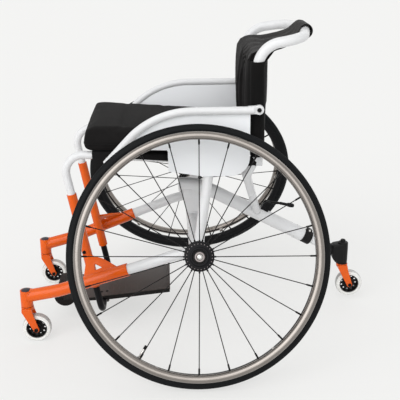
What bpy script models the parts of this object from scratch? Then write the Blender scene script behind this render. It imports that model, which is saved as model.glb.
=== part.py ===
# Tennis wheelchair: rigid tube frame, two cambered wheels, two front casters, one rear caster.
# Metres, +Z up. The chair faces -X, its left side is at -Y. The numbers below are measured
# from the main axle's middle, on the floor. Last, all is moved by ORIGIN_SHIFT along X.
import bmesh
import bpy
from math import atan2, cos, pi, radians, sin, sqrt, tan
from mathutils import Matrix, Vector

GAP = 0.0003
ORIGIN_SHIFT = -0.01025

# Main wheels
CAMBER = radians(20)
TYRE_RADIUS = 0.305
TYRE_SECTION = 0.012
HUB_HALF_TRACK = 0.330
RIM_OUTER = 0.2855
RIM_INNER = 0.2705
RIM_HALF_WIDTH = 0.0098
HANDRIM_RADIUS = 0.275
HANDRIM_TUBE = 0.0095
HANDRIM_OFFSET = 0.0355
SPOKES = 24
SPOKE_WIDTH = 0.0026
HUB_FLANGE = 0.034
HUB_TURN = {-1: radians(-1.2), 1: radians(15)}
WHEEL_SIDES = 40
AXLE_RADIUS = 0.0064
AXLE_INNER_END = -0.105
BUTTON_TRAVEL = 0.004
WHEEL_HEIGHT = (TYRE_RADIUS - TYRE_SECTION) * cos(CAMBER) + TYRE_SECTION

# Casters, the same three times
CASTER_RADIUS = 0.0365
CASTER_CORE = 0.0255
CASTER_SIDES = 20
CASTER_TRAIL = 0.021
FORK_HEIGHT = 0.060
FORK_HALF_WIDTH = 0.0185
FORK_BLADE = 0.005
STEM_RADIUS = 0.006
STEM_LENGTH = 0.036
FRONT_STEM = (-0.4315, 0.175)
REAR_STEM_X = 0.410
REAR_CASTER_LIFT = 0.0215
FRONT_FORK_TOP = CASTER_RADIUS + FORK_HEIGHT
REAR_FORK_TOP = FRONT_FORK_TOP + REAR_CASTER_LIFT

# Front arms and sockets
ARM_RADIUS = 0.0162
ARM_FRONT = (-0.4290, 0.1753, 0.1241)
ARM_BEND = (-0.3465, 0.1849, 0.1422)
ARM_REAR = (-0.1705, 0.2055, 0.2035)
HOUSING_RADIUS = 0.0155
HOUSING_HEIGHT = 0.043
SOCKET_RADIUS = 0.0122
SOCKET_Y = 0.140
SOCKET_TOP = (-0.307, 0.3815)
SOCKET_BOTTOM_Z = 0.122
SOCKET_LEAN = 0.1904

# White frame tubes
CAMBER_TUBE_RADIUS = 0.020
CAMBER_TUBE_HALF = 0.262
CAMBER_TUBE_HEIGHT = 0.260
AXLE_SLEEVE_RADIUS = 0.0135
SIDE_TUBE_RADIUS = 0.0133
RAIL_RADIUS = 0.010
RAIL_FRONT = (-0.3266, 0.4846)
RAIL_REAR = (0.138, 0.4615)
RAIL_END_X = 0.163
RAIL_REAR_Y = 0.158
AXLE_STRUT_RADIUS = 0.0125
REAR_STRUT_RADIUS = 0.0100
BEAM_RADIUS = 0.0180
BEAM_FRONT = (-0.040, 0.3565)
BEAM_BEND = (0.012, 0.3565)
BEAM_REAR = (0.297, 0.2045)
ANTI_TIP_RADIUS = 0.0125
POST_RADIUS = 0.0125
POST_X = 0.151
POST_FOOT = 0.463
BAR_CORNER = (0.148, 0.740)
BAR_SIDE = (0.254, 0.7565)
BAR_MIDDLE = (0.2855, 0.759)
POST_BEND = 0.060
BAR_BEND = 0.065
BAR_BOW = 0.300

# Footrest
HANGER_RADIUS = 0.0085
HANGER_TOP = 0.250
HANGER_CROSS_Z = 0.059
FOOTPLATE_HALF_WIDTH = 0.080
FOOTPLATE_THICKNESS = 0.006
FOOTPLATE_SLOPE = 0.105
FOOTPLATE_REAR_X = -0.068
FOOTPLATE_NOSE_X = -0.348
NOSE_RADIUS = 0.029
NOSE_HEIGHT = 0.0755

# Side guards
GUARD_Y = 0.182
GUARD_THICKNESS = 0.003
GUARD_RIM_RADIUS = 0.0095
GUARD_RIM_Y = 0.1865
GUARD_RIM_CORNERS = ((0.138, 0.5947), (-0.0978, 0.5947), (-0.2147, 0.4695))
GUARD_BEND = 0.209
GUARD_LUG = (0.150, 0.596)
GUARD_LUG_RADIUS = 0.0115

# Soft parts
CUSHION_FRONT = -0.268
CUSHION_REAR = 0.122
CUSHION_HALF_WIDTH = 0.166
CUSHION_THICKNESS = 0.055
SLING_FRONT = -0.250
SLING_REAR = 0.125
SLING_THICKNESS = 0.0025
SLEEVE_RADIUS = 0.0162
BACK_THICKNESS = 0.003
BACK_HALF_WIDTH = 0.139
BACK_TOP = 0.705
BACK_HEM = 0.476
WRAP_RADIUS = 0.0188
WRAP_CENTRE = (0.2785, 0.759)
WRAP_HALF_WIDTH = 0.028

ORANGE = ("orange_paint", (0.80, 0.16, 0.02), 0.25, 0.0)
WHITE = ("white_paint", (0.86, 0.87, 0.88), 0.25, 0.0)
BLACK_METAL = ("black_anodised", (0.02, 0.02, 0.022), 0.35, 0.6)
STEEL = ("polished_steel", (0.62, 0.60, 0.58), 0.25, 1.0)
TITANIUM = ("titanium", (0.42, 0.38, 0.34), 0.35, 1.0)
RUBBER = ("black_rubber", (0.015, 0.016, 0.018), 0.75, 0.0)
URETHANE = ("clear_urethane", (0.78, 0.76, 0.72), 0.30, 0.0)
BLACK_PLASTIC = ("black_plastic", (0.02, 0.02, 0.02), 0.45, 0.0)
GREY_PLASTIC = ("grey_plastic", (0.10, 0.095, 0.09), 0.50, 0.0)
FABRIC = ("black_fabric", (0.012, 0.012, 0.013), 0.95, 0.0)


def collection_named(name):
    found = bpy.data.collections.new(name)
    bpy.context.scene.collection.children.link(found)
    return found


def material_of(look):
    name, colour, roughness, metallic = look
    found = bpy.data.materials.get(name)
    if found:
        return found
    made = bpy.data.materials.new(name)
    made.use_nodes = True
    shader = made.node_tree.nodes["Principled BSDF"]
    shader.inputs["Base Color"].default_value = (*colour, 1.0)
    shader.inputs["Roughness"].default_value = roughness
    shader.inputs["Metallic"].default_value = metallic
    made.diffuse_color = (*colour, 1.0)
    return made


def keep(obj, look):
    """Files an object as a piece of the chair, or as a helper when it has no look."""
    for holder in obj.users_collection:
        holder.objects.unlink(obj)
    if look is None:
        helpers.objects.link(obj)
        obj.hide_render = True
        obj.display_type = "WIRE"
    else:
        chair.objects.link(obj)
        obj.data.materials.append(material_of(look))
    return obj


def mirrored(point, side):
    """A point given for the right side, moved to the wanted side."""
    return Vector((point[0], side * point[1], point[2]))


def rod(name, start, end, radius, look=None, sides=16):
    """A straight round bar between two points."""
    start = Vector(start)
    end = Vector(end)
    along = end - start
    bpy.ops.mesh.primitive_cylinder_add(vertices=sides, radius=radius, depth=along.length)
    obj = bpy.context.object
    obj.name = name
    obj.matrix_world = Matrix.Translation((start + end) / 2) @ along.to_track_quat("Z", "Y").to_matrix().to_4x4()
    return keep(obj, look)


def bore(name, start, end, radius):
    """The cutter for a hole whose flats stay clear of a round piece of this radius."""
    return rod(name, start, end, (radius + GAP) / cos(pi / 12), sides=12)


def block(name, centre, size, look=None, turn=0.0):
    """A box, turned about Y."""
    bpy.ops.mesh.primitive_cube_add(size=1)
    obj = bpy.context.object
    obj.name = name
    obj.data.transform(Matrix.Diagonal((*size, 1)))
    obj.location = centre
    obj.rotation_euler = (0, turn, 0)
    return keep(obj, look)


def filleted(corners, radii, steps):
    """The points of a bent tube: straight runs joined by arcs at the inner corners."""
    corners = [Vector(corner) for corner in corners]
    points = [corners[0]]
    for index, radius in enumerate(radii, 1):
        corner = corners[index]
        back = (corners[index - 1] - corner).normalized()
        ahead = (corners[index + 1] - corner).normalized()
        half = back.angle(ahead) / 2
        start = corner + back * radius / tan(half)
        centre = corner + (back + ahead).normalized() * radius / sin(half)
        first = start - centre
        last = corner + ahead * radius / tan(half) - centre
        for step in range(steps + 1):
            points.append(centre + first.slerp(last, step / steps).normalized() * radius)
    points.append(corners[-1])
    return points


def bent_tube(name, points, radius, look, resolution=4):
    """A round tube along a path, baked to a closed mesh so that it can be cut."""
    curve = bpy.data.curves.new(name, "CURVE")
    curve.dimensions = "3D"
    curve.bevel_depth = radius
    curve.bevel_resolution = resolution
    curve.use_fill_caps = True
    spline = curve.splines.new("POLY")
    spline.points.add(len(points) - 1)
    for place, point in zip(spline.points, points):
        place.co = (*point, 1)
    return baked(bpy.data.objects.new(name, curve), look)


def plate(name, outline, thickness, middle_y, look=None, holes=()):
    """A flat sheet whose outline is given in X and Z, standing at one Y."""
    upright = Matrix.Translation((0, middle_y, 0)) @ Matrix.Rotation(pi / 2, 4, "X")
    return sheet_in(upright, name, outline, thickness, look, holes)


def sheet_in(plane, name, outline, thickness, look=None, holes=()):
    """A flat sheet whose outline is given in the first two axes of a plane's matrix."""
    curve = bpy.data.curves.new(name, "CURVE")
    curve.dimensions = "2D"
    curve.fill_mode = "BOTH"
    curve.extrude = thickness / 2
    for loop in (outline, *holes):
        spline = curve.splines.new("POLY")
        spline.points.add(len(loop) - 1)
        spline.use_cyclic_u = True
        for place, point in zip(spline.points, loop):
            place.co = (point[0], point[1], 0, 1)
    obj = bpy.data.objects.new(name, curve)
    obj.matrix_world = plane
    return baked(obj, look)


def baked(obj, look):
    """Turns a curve object into a welded mesh object that stands in the same place."""
    bpy.context.scene.collection.objects.link(obj)
    bpy.context.view_layer.update()
    graph = bpy.context.evaluated_depsgraph_get()
    mesh = bpy.data.meshes.new_from_object(obj.evaluated_get(graph))
    mesh.transform(obj.matrix_world)
    name = obj.name
    bpy.data.objects.remove(obj)
    work = bmesh.new()
    work.from_mesh(mesh)
    bmesh.ops.remove_doubles(work, verts=work.verts, dist=0.00002)
    bmesh.ops.recalc_face_normals(work, faces=work.faces)
    work.to_mesh(mesh)
    work.free()
    mesh.materials.clear()
    mesh.shade_smooth()
    mesh.set_sharp_from_angle(angle=radians(40))
    return keep(bpy.data.objects.new(name, mesh), look)


def turned(name, profile, sides, look=None, closed=True, parent=None, quarter=0.0):
    """A turned piece: (radius, height) pairs, down the outer side first, swept about Z."""
    mesh = bpy.data.meshes.new(name)
    points = [(radius * cos(quarter), radius * sin(quarter), height) for radius, height in profile]
    edges = [(index, index + 1) for index in range(len(points) - 1)]
    if closed:
        edges.append((len(points) - 1, 0))
    mesh.from_pydata(points, edges, [])
    obj = keep(bpy.data.objects.new(name, mesh), look)
    screw = obj.modifiers.new("turn", "SCREW")
    screw.axis = "Z"
    screw.angle = 2 * pi
    screw.steps = sides
    screw.render_steps = sides
    screw.use_merge_vertices = True
    screw.merge_threshold = 0.00001
    obj.parent = parent
    return obj


def combine(obj, other, operation):
    """Cuts, or joins, one object with a helper."""
    boolean = obj.modifiers.new(operation.lower(), "BOOLEAN")
    boolean.operation = operation
    boolean.solver = "EXACT"
    boolean.object = other
    return obj


def cut(obj, *cutters):
    for cutter in cutters:
        combine(obj, cutter, "DIFFERENCE")
    return obj


def join(obj, *others):
    for other in others:
        combine(obj, other, "UNION")
    return obj


def empty_at(name, location, rotation=(0, 0, 0)):
    obj = bpy.data.objects.new(name, None)
    obj.location = location
    obj.rotation_euler = rotation
    obj.empty_display_size = 0.03
    chair.objects.link(obj)
    return obj


def arc(centre, radius, first, last, steps):
    """Points on an arc in a plane, angles in degrees."""
    angles = [radians(first + (last - first) * step / steps) for step in range(steps + 1)]
    return [(centre[0] + radius * cos(angle), centre[1] + radius * sin(angle)) for angle in angles]


def on_axle(side, distance):
    """A point on a main wheel's axis, this far outboard of the wheel's middle plane."""
    y = side * (HUB_HALF_TRACK + distance * cos(CAMBER))
    return Vector((0, y, WHEEL_HEIGHT + distance * sin(CAMBER)))


def socket_x(z):
    """Where the leaning socket's axis is at a height."""
    return SOCKET_TOP[0] + SOCKET_LEAN * (SOCKET_TOP[1] - z)


def rail_z(x):
    """The height of a seat rail's axis behind its front bend."""
    slope = (RAIL_REAR[1] - RAIL_FRONT[1]) / (RAIL_REAR[0] - RAIL_FRONT[0])
    return RAIL_FRONT[1] + slope * (x - RAIL_FRONT[0])


def rail_y(x):
    """The distance of a seat rail's axis from the middle plane."""
    slope = (RAIL_REAR_Y - SOCKET_Y) / (RAIL_REAR[0] - RAIL_FRONT[0])
    return SOCKET_Y + slope * (x - RAIL_FRONT[0])


def beam_z(x):
    """The height of the rear beam's axis behind its bend."""
    slope = (BEAM_REAR[1] - BEAM_BEND[1]) / (BEAM_REAR[0] - BEAM_BEND[0])
    return BEAM_BEND[1] + slope * (x - BEAM_BEND[0])


def over_beam(x, lift):
    """A point off the rear beam's straight axis, square to it."""
    along = Vector((BEAM_REAR[0] - BEAM_BEND[0], 0, BEAM_REAR[1] - BEAM_BEND[1])).normalized()
    return Vector((x, 0, beam_z(x))) + Vector((-along.z, 0, along.x)) * lift


# Main wheels


def spoked_hub(name, parent):
    """The hub shell with its radial spokes, drawn out of the flanges' edges."""
    profile = [
        (0.0215, 0.033), (HUB_FLANGE, 0.0305), (HUB_FLANGE, 0.0265), (0.019, 0.0225),
        (0.019, -0.0225), (HUB_FLANGE, -0.0265), (HUB_FLANGE, -0.0305), (0.0215, -0.033),
        (0.0165, -0.033), (0.0165, -0.022), (0.0135, -0.022), (0.0135, 0.022),
        (0.0165, 0.022), (0.0165, 0.033),
    ]
    shell = turned(name, profile, SPOKES, quarter=pi / SPOKES)
    bpy.context.view_layer.update()
    graph = bpy.context.evaluated_depsgraph_get()
    mesh = bpy.data.meshes.new_from_object(shell.evaluated_get(graph))
    bpy.data.objects.remove(shell)
    work = bmesh.new()
    work.from_mesh(mesh)
    bmesh.ops.remove_doubles(work, verts=work.verts, dist=0.00001)
    flange_faces = []
    for face in work.faces:
        centre = face.calc_center_median()
        reach = sqrt(centre.x**2 + centre.y**2)
        if reach > HUB_FLANGE * 0.98 and 0.0266 < abs(centre.z) < 0.0304:
            turn = round(atan2(centre.y, centre.x) / (2 * pi / SPOKES))
            if turn % 2 == (0 if centre.z > 0 else 1):
                flange_faces.append(face)
    for face in flange_faces:
        draw_spoke(work, face)
    bmesh.ops.recalc_face_normals(work, faces=work.faces)
    work.to_mesh(mesh)
    work.free()
    obj = keep(bpy.data.objects.new(name, mesh), BLACK_METAL)
    obj.parent = parent
    return obj


def draw_spoke(work, face):
    """Draws one square bar out of a flange face, to the rim."""
    bmesh.ops.inset_individual(work, faces=[face], thickness=0.0006)
    centre = face.calc_center_median()
    outward = Vector((centre.x, centre.y, 0)).normalized()
    across = Vector((-outward.y, outward.x, 0))
    for corner in face.verts:
        offset = corner.co - centre
        sideways = SPOKE_WIDTH / 2 if offset.dot(across) > 0 else -SPOKE_WIDTH / 2
        upward = SPOKE_WIDTH / 2 if offset.z > 0 else -SPOKE_WIDTH / 2
        corner.co = centre + across * sideways + Vector((0, 0, upward))
    tip = bmesh.ops.extrude_discrete_faces(work, faces=[face])["faces"][0]
    move = outward * (RIM_INNER - 0.0008) - centre
    bmesh.ops.translate(work, verts=tip.verts, vec=move)


def main_wheel(side, label):
    """Everything that turns with a main wheel, and the axle that it turns on."""
    tilt = -side * (pi / 2 - CAMBER)
    centre = empty_at(label + "_wheel_axis", (0, side * HUB_HALF_TRACK, WHEEL_HEIGHT), (tilt, 0, 0))
    # The polygons are drawn round the true circles, with a flat at the bottom.
    flat_down = pi / WHEEL_SIDES
    grow = 1 / cos(pi / WHEEL_SIDES)
    middle = TYRE_RADIUS - TYRE_SECTION
    section = [(middle + TYRE_SECTION * cos(radians(a)), TYRE_SECTION * sin(radians(a))) for a in (75, 25)]
    section += [(radius, -height) for radius, height in reversed(section)]
    section += [(RIM_OUTER + 0.0004, -0.0090), (RIM_OUTER + 0.0004, 0.0090)]
    tyre = [(radius * grow, height) for radius, height in section]
    turned(label + "_tyre", tyre, WHEEL_SIDES, RUBBER, parent=centre, quarter=flat_down)
    rim = [
        (RIM_OUTER, RIM_HALF_WIDTH), (RIM_OUTER, -RIM_HALF_WIDTH), (RIM_INNER, -0.0065), (RIM_INNER, 0.0065),
    ]
    turned(label + "_rim", [(r * grow, z) for r, z in rim], WHEEL_SIDES, BLACK_METAL, parent=centre, quarter=flat_down)
    spoked_hub(label + "_spoked_hub", centre).rotation_euler.z = HUB_TURN[side]
    handrim(label, centre)
    bearing = [(0.0160, 0.0325), (0.0160, 0.0225), (0.0070, 0.0225), (0.0070, 0.0325)]
    turned(label + "_outer_bearing", bearing, 16, STEEL, parent=centre)
    turned(label + "_inner_bearing", [(r, z - 0.055) for r, z in bearing], 16, STEEL, parent=centre)
    axle = [
        (0.0080, 0.0425), (0.0105, 0.0425), (0.0115, 0.0415), (0.0115, 0.0335), (AXLE_RADIUS, 0.0335),
        (AXLE_RADIUS, AXLE_INNER_END + 0.003), (0.0052, AXLE_INNER_END), (0, AXLE_INNER_END),
    ]
    pocket = [(0, 0.001), (0.0034, 0.001), (0.0034, 0.0350), (0.0080, 0.0350)]
    axle_points = list(reversed(axle)) + list(reversed(pocket))
    turned(label + "_axle", list(reversed(axle_points)), 16, STEEL, closed=False, parent=centre)
    button = [
        (0, 0.0468), (0.0040, 0.0460), (0.0074, 0.0435), (0.0074, 0.0395), (0.0030, 0.0395),
        (0.0030, 0.0060), (0, 0.0060),
    ]
    turned(label + "_axle_button", button, 16, STEEL, closed=False, parent=centre)


def handrim(label, centre):
    """The push ring with its six tabs to the rim."""
    section = arc((HANDRIM_RADIUS, HANDRIM_OFFSET), HANDRIM_TUBE, 180, -120, 5)
    ring = turned(label + "_handrim", section, WHEEL_SIDES, TITANIUM, parent=centre, quarter=pi / WHEEL_SIDES)
    bpy.context.view_layer.update()
    for index in range(6):
        angle = radians(7.5 + 60 * index)
        tab = block(label + "_tab_%d" % index, (0, 0, 0), (0.003, 0.012, HANDRIM_OFFSET - 0.0102))
        middle = Vector((0.2730, 0, (HANDRIM_OFFSET + 0.0102) / 2))
        tab.matrix_world = centre.matrix_world @ Matrix.Rotation(angle, 4, "Z") @ Matrix.Translation(middle)
        join(ring, tab)


# Casters


def caster(label, stem_x, stem_y, fork_top):
    """One caster: fork with stem, bearing, wheel and axle bolt."""
    axle_height = fork_top - FORK_HEIGHT
    swivel = empty_at(label + "_swivel_axis", (stem_x, stem_y, fork_top))
    axle = Vector((stem_x + CASTER_TRAIL, stem_y, axle_height))
    crown = turned(
        label + "_fork",
        [
            (0, STEM_LENGTH), (STEM_RADIUS, STEM_LENGTH), (STEM_RADIUS, 0), (HOUSING_RADIUS, 0),
            (HOUSING_RADIUS, -0.009), (0, -0.009),
        ],
        16, ORANGE, closed=False, parent=swivel,
    )
    join(crown, block(label + "_crown", (stem_x, stem_y, fork_top - 0.0065), (0.025, 0.035, 0.0070)))
    blade_middle = FORK_HALF_WIDTH - FORK_BLADE / 2
    for hand in (-1, 1):
        outline = [(stem_x - 0.0125, fork_top - 0.002), (stem_x - 0.0125, fork_top - 0.009)]
        outline += arc((axle.x, axle.z), 0.0075, 215, 395, 6)
        outline += [(stem_x + 0.0145, fork_top - 0.014), (stem_x + 0.0125, fork_top - 0.002)]
        join(crown, plate(label + "_blade_%d" % hand, outline, FORK_BLADE, stem_y + hand * blade_middle))
    across = Vector((0, FORK_HALF_WIDTH + 0.010, 0))
    cut(crown, rod(label + "_axle_hole", axle - across, axle + across, 0.0043, sides=12))
    bearing = [(0.0105, 0.0105), (0.0105, 0.0020), (STEM_RADIUS + 0.0005, 0.0020), (STEM_RADIUS + 0.0005, 0.0105)]
    turned(label + "_stem_bearing", bearing, 16, STEEL, parent=swivel)
    spin = empty_at(label + "_wheel_axis", axle, (pi / 2, 0, 0))
    grow = 1 / cos(pi / CASTER_SIDES)
    tyre = [
        (0.0335, 0.0112), (CASTER_RADIUS, 0.0050), (CASTER_RADIUS, -0.0050), (0.0335, -0.0112),
        (CASTER_CORE + 0.0004, -0.0112), (CASTER_CORE + 0.0004, 0.0112),
    ]
    flat_down = pi / CASTER_SIDES
    tyre = [(radius * grow, height) for radius, height in tyre]
    turned(label + "_tyre", tyre, CASTER_SIDES, URETHANE, parent=spin, quarter=flat_down)
    core = [
        (0.0085, 0.0118), (CASTER_CORE, 0.0095), (CASTER_CORE, -0.0095), (0.0085, -0.0118),
        (0.0044, -0.0118), (0.0044, 0.0118),
    ]
    turned(label + "_core", core, CASTER_SIDES, BLACK_PLASTIC, parent=spin, quarter=flat_down)
    bolt = [
        (0, 0.0225), (0.0050, 0.0225), (0.0064, 0.0210), (0.0064, 0.0188), (0.0040, 0.0188),
        (0.0040, -0.0188), (0.0064, -0.0188), (0.0064, -0.0210), (0.0050, -0.0225), (0, -0.0225),
    ]
    turned(label + "_axle", bolt, 12, STEEL, closed=False, parent=spin)
    return swivel


# Front arms


def caster_arm(side, label):
    """The orange arm: caster housing, tube, upright socket and the gusset between them."""
    stem = Vector((FRONT_STEM[0], side * FRONT_STEM[1], 0))
    end = mirrored(ARM_REAR, side)
    along = arm_direction(side)
    corners = [mirrored(ARM_FRONT, side), mirrored(ARM_BEND, side), end]
    arm = bent_tube(label + "_caster_arm", filleted(corners, (0.30,), 3), ARM_RADIUS, ORANGE, 3)
    base = FRONT_FORK_TOP + 0.0010
    top = base + HOUSING_HEIGHT
    foot = stem + Vector((0, 0, base))
    join(arm, rod(label + "_housing", foot, stem + Vector((0, 0, top)), HOUSING_RADIUS))
    socket_top = Vector((SOCKET_TOP[0], side * SOCKET_Y, SOCKET_TOP[1]))
    socket_foot = Vector((socket_x(SOCKET_BOTTOM_Z), side * SOCKET_Y, SOCKET_BOTTOM_Z))
    join(arm, rod(label + "_socket", socket_foot, socket_top, SOCKET_RADIUS))
    stub_x = -0.268
    on_arm = end + along * ((stub_x - end.x) / along.x)
    on_socket = Vector((socket_x(on_arm.z), side * SOCKET_Y, on_arm.z))
    join(arm, rod(label + "_stub", on_socket, on_arm, 0.0095, sides=12))
    join(arm, gusset(side, label, end, along))
    bore_top = Vector((socket_x(0.39), side * SOCKET_Y, 0.39))
    bore_step = Vector((socket_x(0.278), side * SOCKET_Y, 0.278))
    bore_foot = Vector((socket_x(0.11), side * SOCKET_Y, 0.11))
    cut(arm, bore(label + "_hanger_bore", bore_foot, bore_top, HANGER_RADIUS))
    cut(arm, bore(label + "_rail_bore", bore_step, bore_top, RAIL_RADIUS))
    cut(arm, bore(label + "_side_tube_bore", end - along * 0.050, end + along * 0.010, SIDE_TUBE_RADIUS))
    lower = rod(label + "_bearing_bore", foot - Vector((0, 0, 0.005)), foot + Vector((0, 0, 0.0105)), 0.0108)
    upper = rod(label + "_cap_bore", stem + Vector((0, 0, top - 0.008)), stem + Vector((0, 0, top + 0.005)), 0.0121)
    middle = rod(label + "_stem_bore", foot, stem + Vector((0, 0, top)), STEM_RADIUS + 0.0005, sides=12)
    cut(arm, lower, upper, middle)
    cap = [(0, 0.0035), (0.0085, 0.0030), (0.0117, 0.0010), (0.0117, -0.0030), (0, -0.0030)]
    holder = empty_at(label + "_cap_place", stem + Vector((0, 0, top)))
    turned(label + "_stem_cap", cap, 16, GREY_PLASTIC, closed=False, parent=holder)


def gusset(side, label, end, along):
    """The web that carries the socket on the arm, with its three-cornered hole."""
    low = end + along * ((-0.283 - end.x) / along.x) + Vector((0, 0, 0.008))
    high = Vector((socket_x(0.221), side * SOCKET_Y, 0.221))
    lean = (high - low).dot(along)
    rise = high - low - along * lean
    tall = rise.length
    rise.normalize()
    plane = Matrix.Identity(4)
    for column, axis in enumerate((along, rise, along.cross(rise))):
        plane.col[column] = (*axis, 0)
    plane.translation = low
    outline = [(0, 0), (0.093, 0), (0.093, 0.007), (0.078, 0.022), (0.056, 0.043), (0.040, 0.053), (lean, tall)]
    hole = [(0.034, 0.035), (0.053, 0.018), (0.032, 0.016)]
    return sheet_in(plane, label + "_gusset", outline, 0.0056, None, (hole,))


# White frame


def camber_tube():
    """The cross tube, with the angled sleeves that hold the two axles."""
    ends = [Vector((0, hand * CAMBER_TUBE_HALF, CAMBER_TUBE_HEIGHT)) for hand in (-1, 1)]
    tube = rod("camber_tube", ends[0], ends[1], CAMBER_TUBE_RADIUS, WHITE, sides=24)
    for side in (-1, 1):
        sleeve = rod("axle_sleeve_%d" % side, on_axle(side, -0.036), on_axle(side, -0.088), AXLE_SLEEVE_RADIUS)
        join(tube, sleeve)
    for side in (-1, 1):
        cut(tube, bore("axle_bore_%d" % side, on_axle(side, -0.03), on_axle(side, AXLE_INNER_END - 0.001), AXLE_RADIUS))


def arm_direction(side):
    """The way the straight rear part of an arm runs, and the tube in it."""
    return (mirrored(ARM_REAR, side) - mirrored(ARM_BEND, side)).normalized()


def camber_cutter(name):
    """The camber tube's space, for what is welded to it."""
    ends = [Vector((0, hand * (CAMBER_TUBE_HALF + 0.001), CAMBER_TUBE_HEIGHT)) for hand in (-1, 1)]
    return rod(name, ends[0], ends[1], CAMBER_TUBE_RADIUS + GAP + 0.0002, sides=24)


def rail_cutter(side, name):
    front = Vector((-0.20, side * rail_y(-0.20), rail_z(-0.20)))
    rear = Vector((RAIL_END_X + 0.01, side * rail_y(RAIL_END_X + 0.01), rail_z(RAIL_END_X + 0.01)))
    return rod(name, front, rear, RAIL_RADIUS + 0.0006)


def strut_ends(side):
    """Where an axle strut's axis starts in the camber tube and ends in the seat rail."""
    foot = mirrored((0.0, 0.2405, 0.262), side)
    return foot, mirrored((0.037, rail_y(0.037) - 0.003, rail_z(0.037)), side)


def frame_side(side, label):
    """The tubes of one side: arm tube, axle strut, rear strut and seat rail."""
    end = mirrored(ARM_REAR, side)
    along = arm_direction(side)
    corners = [
        end - along * 0.045, end + along * 0.012, mirrored((-0.055, 0.217, 0.2435), side),
        mirrored((-0.002, 0.2235, 0.2545), side),
    ]
    tube = bent_tube(label + "_side_tube", filleted(corners, (0.12, 0.12), 3), SIDE_TUBE_RADIUS, WHITE, 3)
    cut(tube, camber_cutter(label + "_side_cope"))
    foot, head = strut_ends(side)
    strut = rod(label + "_axle_strut", foot, head, AXLE_STRUT_RADIUS, WHITE)
    cut(strut, camber_cutter(label + "_strut_cope"), rail_cutter(side, label + "_strut_head_cope"))
    corners = [(0.144, rail_y(0.144), rail_z(0.144)), (0.1265, 0.152, 0.424), (0.168, 0.0155, beam_z(0.168) + 0.010)]
    path = filleted([mirrored(corner, side) for corner in corners], (0.022,), 4)
    brace = bent_tube(label + "_rear_strut", path, REAR_STRUT_RADIUS, WHITE, 2)
    cut(brace, rail_cutter(side, label + "_brace_cope"), beam_cutter(label + "_brace_foot_cope"))
    corners = [
        Vector((socket_x(0.315), side * SOCKET_Y, 0.315)),
        Vector((RAIL_FRONT[0], side * SOCKET_Y, RAIL_FRONT[1])),
        Vector((RAIL_END_X, side * rail_y(RAIL_END_X), rail_z(RAIL_END_X))),
    ]
    bent_tube(label + "_seat_rail", filleted(corners, (0.045,), 6), RAIL_RADIUS, WHITE, 3)


def beam_points(extra=0.0):
    corners = [(BEAM_FRONT[0], 0, BEAM_FRONT[1]), (BEAM_BEND[0], 0, BEAM_BEND[1]), (BEAM_REAR[0], 0, BEAM_REAR[1])]
    corners[2] = (BEAM_REAR[0] + extra, 0, beam_z(BEAM_REAR[0] + extra))
    return filleted(corners, (0.14,), 4)


def beam_cutter(name):
    return bent_tube(name, beam_points(0.01), BEAM_RADIUS + 0.0006, None, 4)


def rear_beam():
    """The central tube to the rear caster, on its pedestal over the camber tube."""
    beam = bent_tube("rear_beam", beam_points(), BEAM_RADIUS, WHITE, 4)
    pedestal = [(-0.028, 0.350), (-0.017, 0.262), (0.017, 0.262), (0.028, 0.346)]
    join(beam, plate("pedestal", pedestal, 0.026, 0.0))
    cut(beam, camber_cutter("pedestal_cope"))
    cut(beam, rod("anti_tip_bore", over_beam(0.100, 0), over_beam(BEAM_REAR[0] + 0.01, 0), ANTI_TIP_RADIUS + GAP))


def anti_tip():
    """The sliding tube, its clamps, the lever and the rear caster's housing."""
    inner = over_beam(0.160, 0)
    outer = over_beam(0.392, 0)
    along = (outer - inner).normalized()
    turn = atan2(-along.z, along.x)
    rod("anti_tip_tube", inner, outer, ANTI_TIP_RADIUS, WHITE)
    mouth = over_beam(BEAM_REAR[0], 0)
    clamp = rod("tube_end_clamp", mouth + along * 0.0004, mouth + along * 0.020, 0.0187, BLACK_PLASTIC)
    ear = over_beam(BEAM_REAR[0], 0.0205) + along * 0.0102
    join(clamp, block("clamp_ear", ear, (0.0150, 0.0120, 0.0100), turn=turn))
    cut(clamp, rod("clamp_bore", mouth - along * 0.01, mouth + along * 0.03, ANTI_TIP_RADIUS + GAP))
    rear_housing(outer, along)
    saddle = block("lever_clamp", over_beam(0.1820, 0.0262), (0.0215, 0.018, 0.0324), BLACK_METAL, turn)
    cut(saddle, beam_cutter("saddle_cope"))
    pivot = over_beam(0.183, 0.0394)
    cut(saddle, block("lever_slot", over_beam(0.183, 0.0430), (0.040, 0.0086, 0.0180), turn=turn))
    reach = Vector((0, 0.012, 0))
    cut(saddle, rod("lever_pin_hole", pivot - reach, pivot + reach, 0.0022 + GAP, sides=12))
    lever(pivot)


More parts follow.
